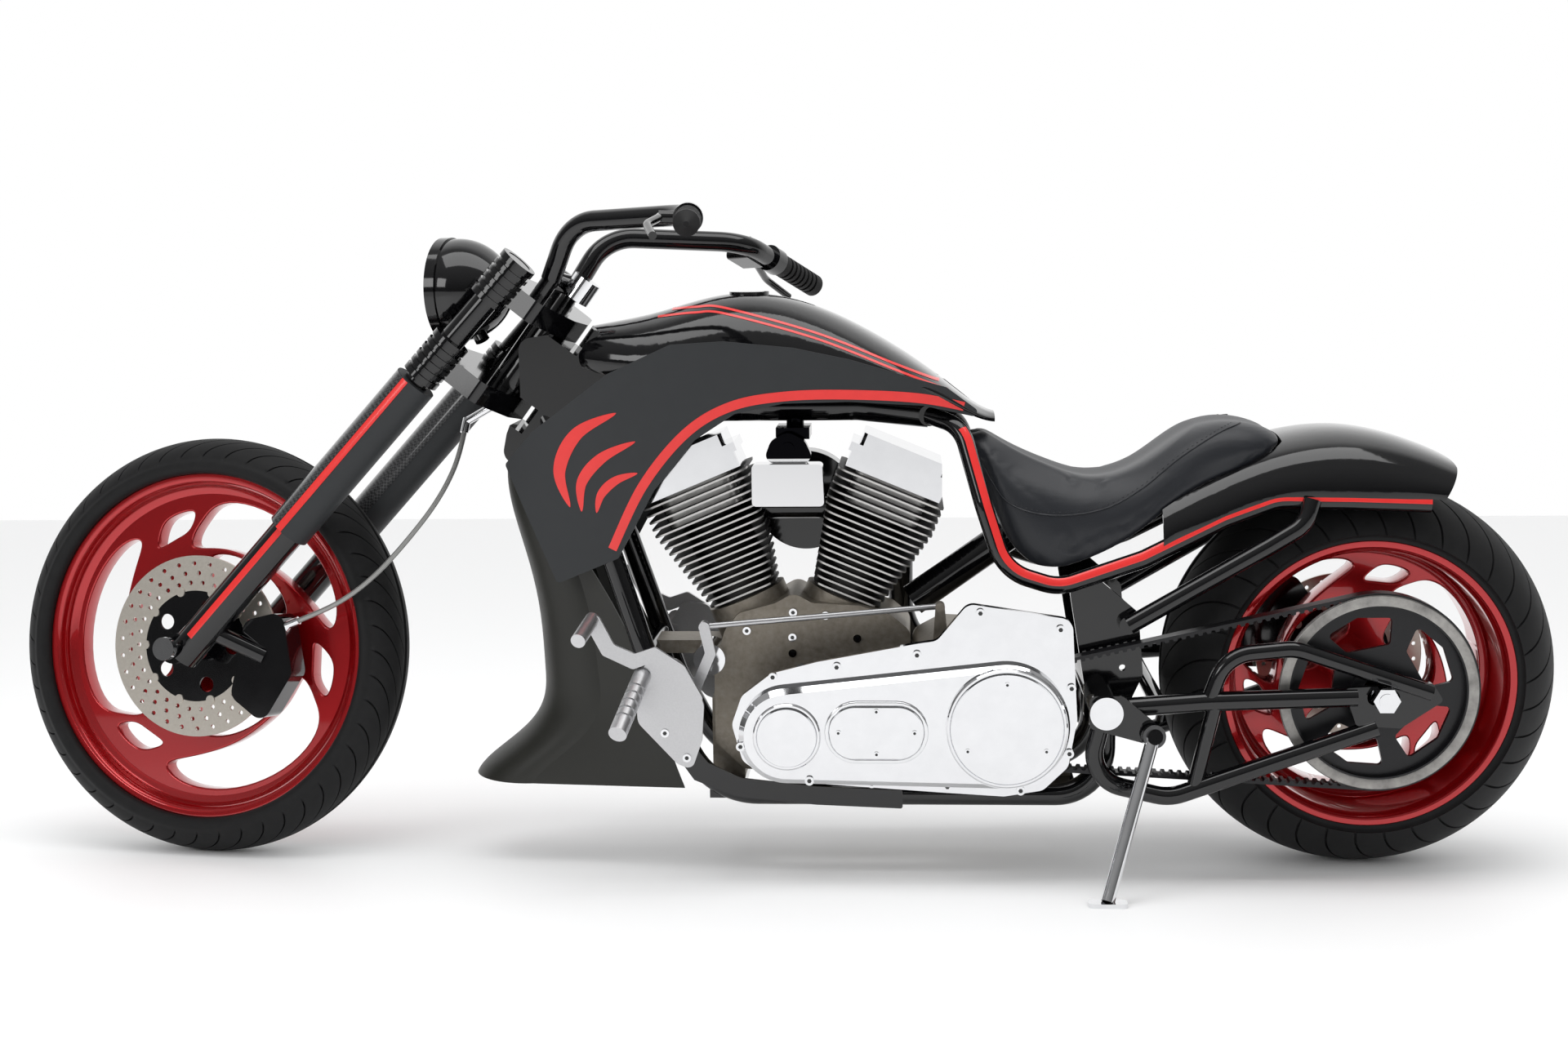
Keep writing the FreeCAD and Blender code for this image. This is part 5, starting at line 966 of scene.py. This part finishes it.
for side_name, sign in both_sides:
    laid_band("panel_band_" + side_name, panel_skins[sign], smooth_line(band_knots, 10), sign)
    for number, knots in enumerate(crescents):
        line = smooth_line(knots, 12)
        last = len(line) - 1
        full = crescent_width - crescent_step * number
        tapered = [(a, b, crescent_tip + full * math.sin(math.pi * i / last) ** 0.8)
                   for i, (a, b) in enumerate(line)]
        laid_band("emblem_%s_%d" % (side_name, number), panel_skins[sign], tapered, sign)
    for number, drop in enumerate(bead_drops):
        line = [(a, b - drop, bead_width) for a, b in smooth_line(bead_knots, 12)]
        laid_band("tank_bead_%s_%d" % (side_name, number), tank_skin, line, sign)

# Chin fairing and rear fender: moulded shells, the fairing in a matte olive black and the fender in gloss
# black.
olive = add_grain(finish("matte_olive", (0.016, 0.016, 0.012), 0, 0.45), 0.04, (0.009, 0.009, 0.0065),
                  (0.014, 0.014, 0.010), 0.4, 0.52, 0.0)
dress(olive, "chin_fairing")
dress(gloss, "rear_fender")

# Seat: one deep leather saddle over foam. The solid's form is blown up a little as cloth, so its sides
# crown, and then gets its side seam, piped and stitched.
leather = add_grain(finish("seat_leather", (0.03, 0.034, 0.042), 0, 0.42), 0.0016, (0.006, 0.007, 0.010),
                    (0.011, 0.013, 0.018), 0.36, 0.5, 0.0002)
leather.node_tree.nodes["Principled BSDF"].inputs["Sheen Weight"].default_value = 0.05
weld_distance = 0.0002
voxel_size = 0.006
start_in = 0.004
swell_cap = 0.009
swell_pressure = 4.0
swell_frames = 20
base_limit = -0.7
seat_copy = bmesh.new()
seat_copy.from_mesh(frame["nodes"]["seat"].data)
bmesh.ops.remove_doubles(seat_copy, verts=seat_copy.verts, dist=weld_distance)
seat_mesh = bpy.data.meshes.new("seat_pad")
seat_copy.to_mesh(seat_mesh)
seat_copy.free()
seat_pad = settle("seat_pad", seat_mesh, leather, "chassis", 180)
remesh = seat_pad.modifiers.new("voxels", "REMESH")
remesh.mode = "VOXEL"
remesh.voxel_size = voxel_size
shaped = evaluated_mesh(seat_pad)
seat_pad.modifiers.clear()
seat_pad.data = shaped
for vertex, normal in zip(shaped.vertices, [n.vector.copy() for n in shaped.vertex_normals]):
    vertex.co -= normal * start_in
base = seat_pad.vertex_groups.new(name="base")
low_points = [i for i, n in enumerate(shaped.vertex_normals) if n.vector.dot(upward) < base_limit]
base.add(low_points, 1.0, "REPLACE")
cloth = seat_pad.modifiers.new("cloth", "CLOTH")
cloth.settings.use_pressure = True
cloth.settings.uniform_pressure_force = swell_pressure
cloth.settings.effector_weights.gravity = 0.0
cloth.settings.vertex_group_mass = "base"
cloth.point_cache.frame_start = 1
cloth.point_cache.frame_end = swell_frames
for number in range(1, swell_frames + 1):
    bpy.context.scene.frame_set(number)
blown = seat_pad.evaluated_get(bpy.context.evaluated_depsgraph_get()).to_mesh()
places = [vertex.co.copy() for vertex in blown.vertices]
seat_pad.modifiers.clear()
bpy.context.scene.frame_set(1)
for vertex, place in zip(shaped.vertices, places):
    move = place - vertex.co
    vertex.co += move * min(1.0, swell_cap / max(move.length, 1e-9))
finer = seat_pad.modifiers.new("finer", "SUBSURF")
finer.levels = 1
finer.render_levels = 1
seat_pad.data = evaluated_mesh(seat_pad)
seat_pad.modifiers.clear()
seat_pad.data.shade_smooth()
seat_pad.data.materials.clear()
seat_pad.data.materials.append(leather)
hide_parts("seat")

# Seat seam: the joint along each side of the saddle's cover, with leather piping laid in it and a row of
# stitches above, both sewn before the cover is drawn over the foam.
seam_knots = [(0.466, 0.838), (0.443, 0.765), (0.419, 0.719), (0.371, 0.7), (0.314, 0.711), (0.268, 0.749),
              (0.221, 0.81), (0.179, 0.852), (0.150, 0.868)]
piping_radius = 0.0014
stitch_radius = 0.0005
stitch_rise = 0.0055
stitch_pitch = 3
off_line = Vector((0.31, 0.2, 0.93))
seat_skin = skin_of(seat_pad.data)


def thread(name, lines, radius, made, sides=6):
    """Thin round threads along these lines, as one piece of the saddle."""
    points, faces = [], []
    for line in lines:
        base = len(points)
        for i, centre in enumerate(line):
            ahead = along(line, i)
            outward = ahead.cross(off_line).normalized()
            beside = ahead.cross(outward)
            points += [centre + (outward * x + beside * y) * radius for x, y in spots(1, sides)]
            if i:
                low = base + (i - 1) * sides
                faces += [(low + j, low + (j + 1) % sides, low + sides + (j + 1) % sides, low + sides + j)
                          for j in range(sides)]
        faces.append(tuple(base + j for j in reversed(range(sides))))
        faces.append(tuple(len(points) - sides + j for j in range(sides)))
    return piece_from(name, points, faces, made, "chassis", 60)


def on_seat(line, sign, raised, lift):
    """The line's places on the saddle's side, where it has one."""
    found = [laid(seat_skin, at(a, b + raised, sign * beyond), across * -sign, lift) for a, b in line]
    return [spot for spot in found if spot]


for side_name, sign in both_sides:
    line = smooth_line(seam_knots, 24)
    seam = on_seat(line, sign, 0, 0.0004)
    above = on_seat(line, sign, stitch_rise, 0.0002)
    stitches = [above[i:i + 2] for i in range(0, len(above) - 1, stitch_pitch)]
    thread("seat_piping_" + side_name, [seam], piping_radius, leather)
    thread("seat_stitches_" + side_name, stitches, stitch_radius, leather)
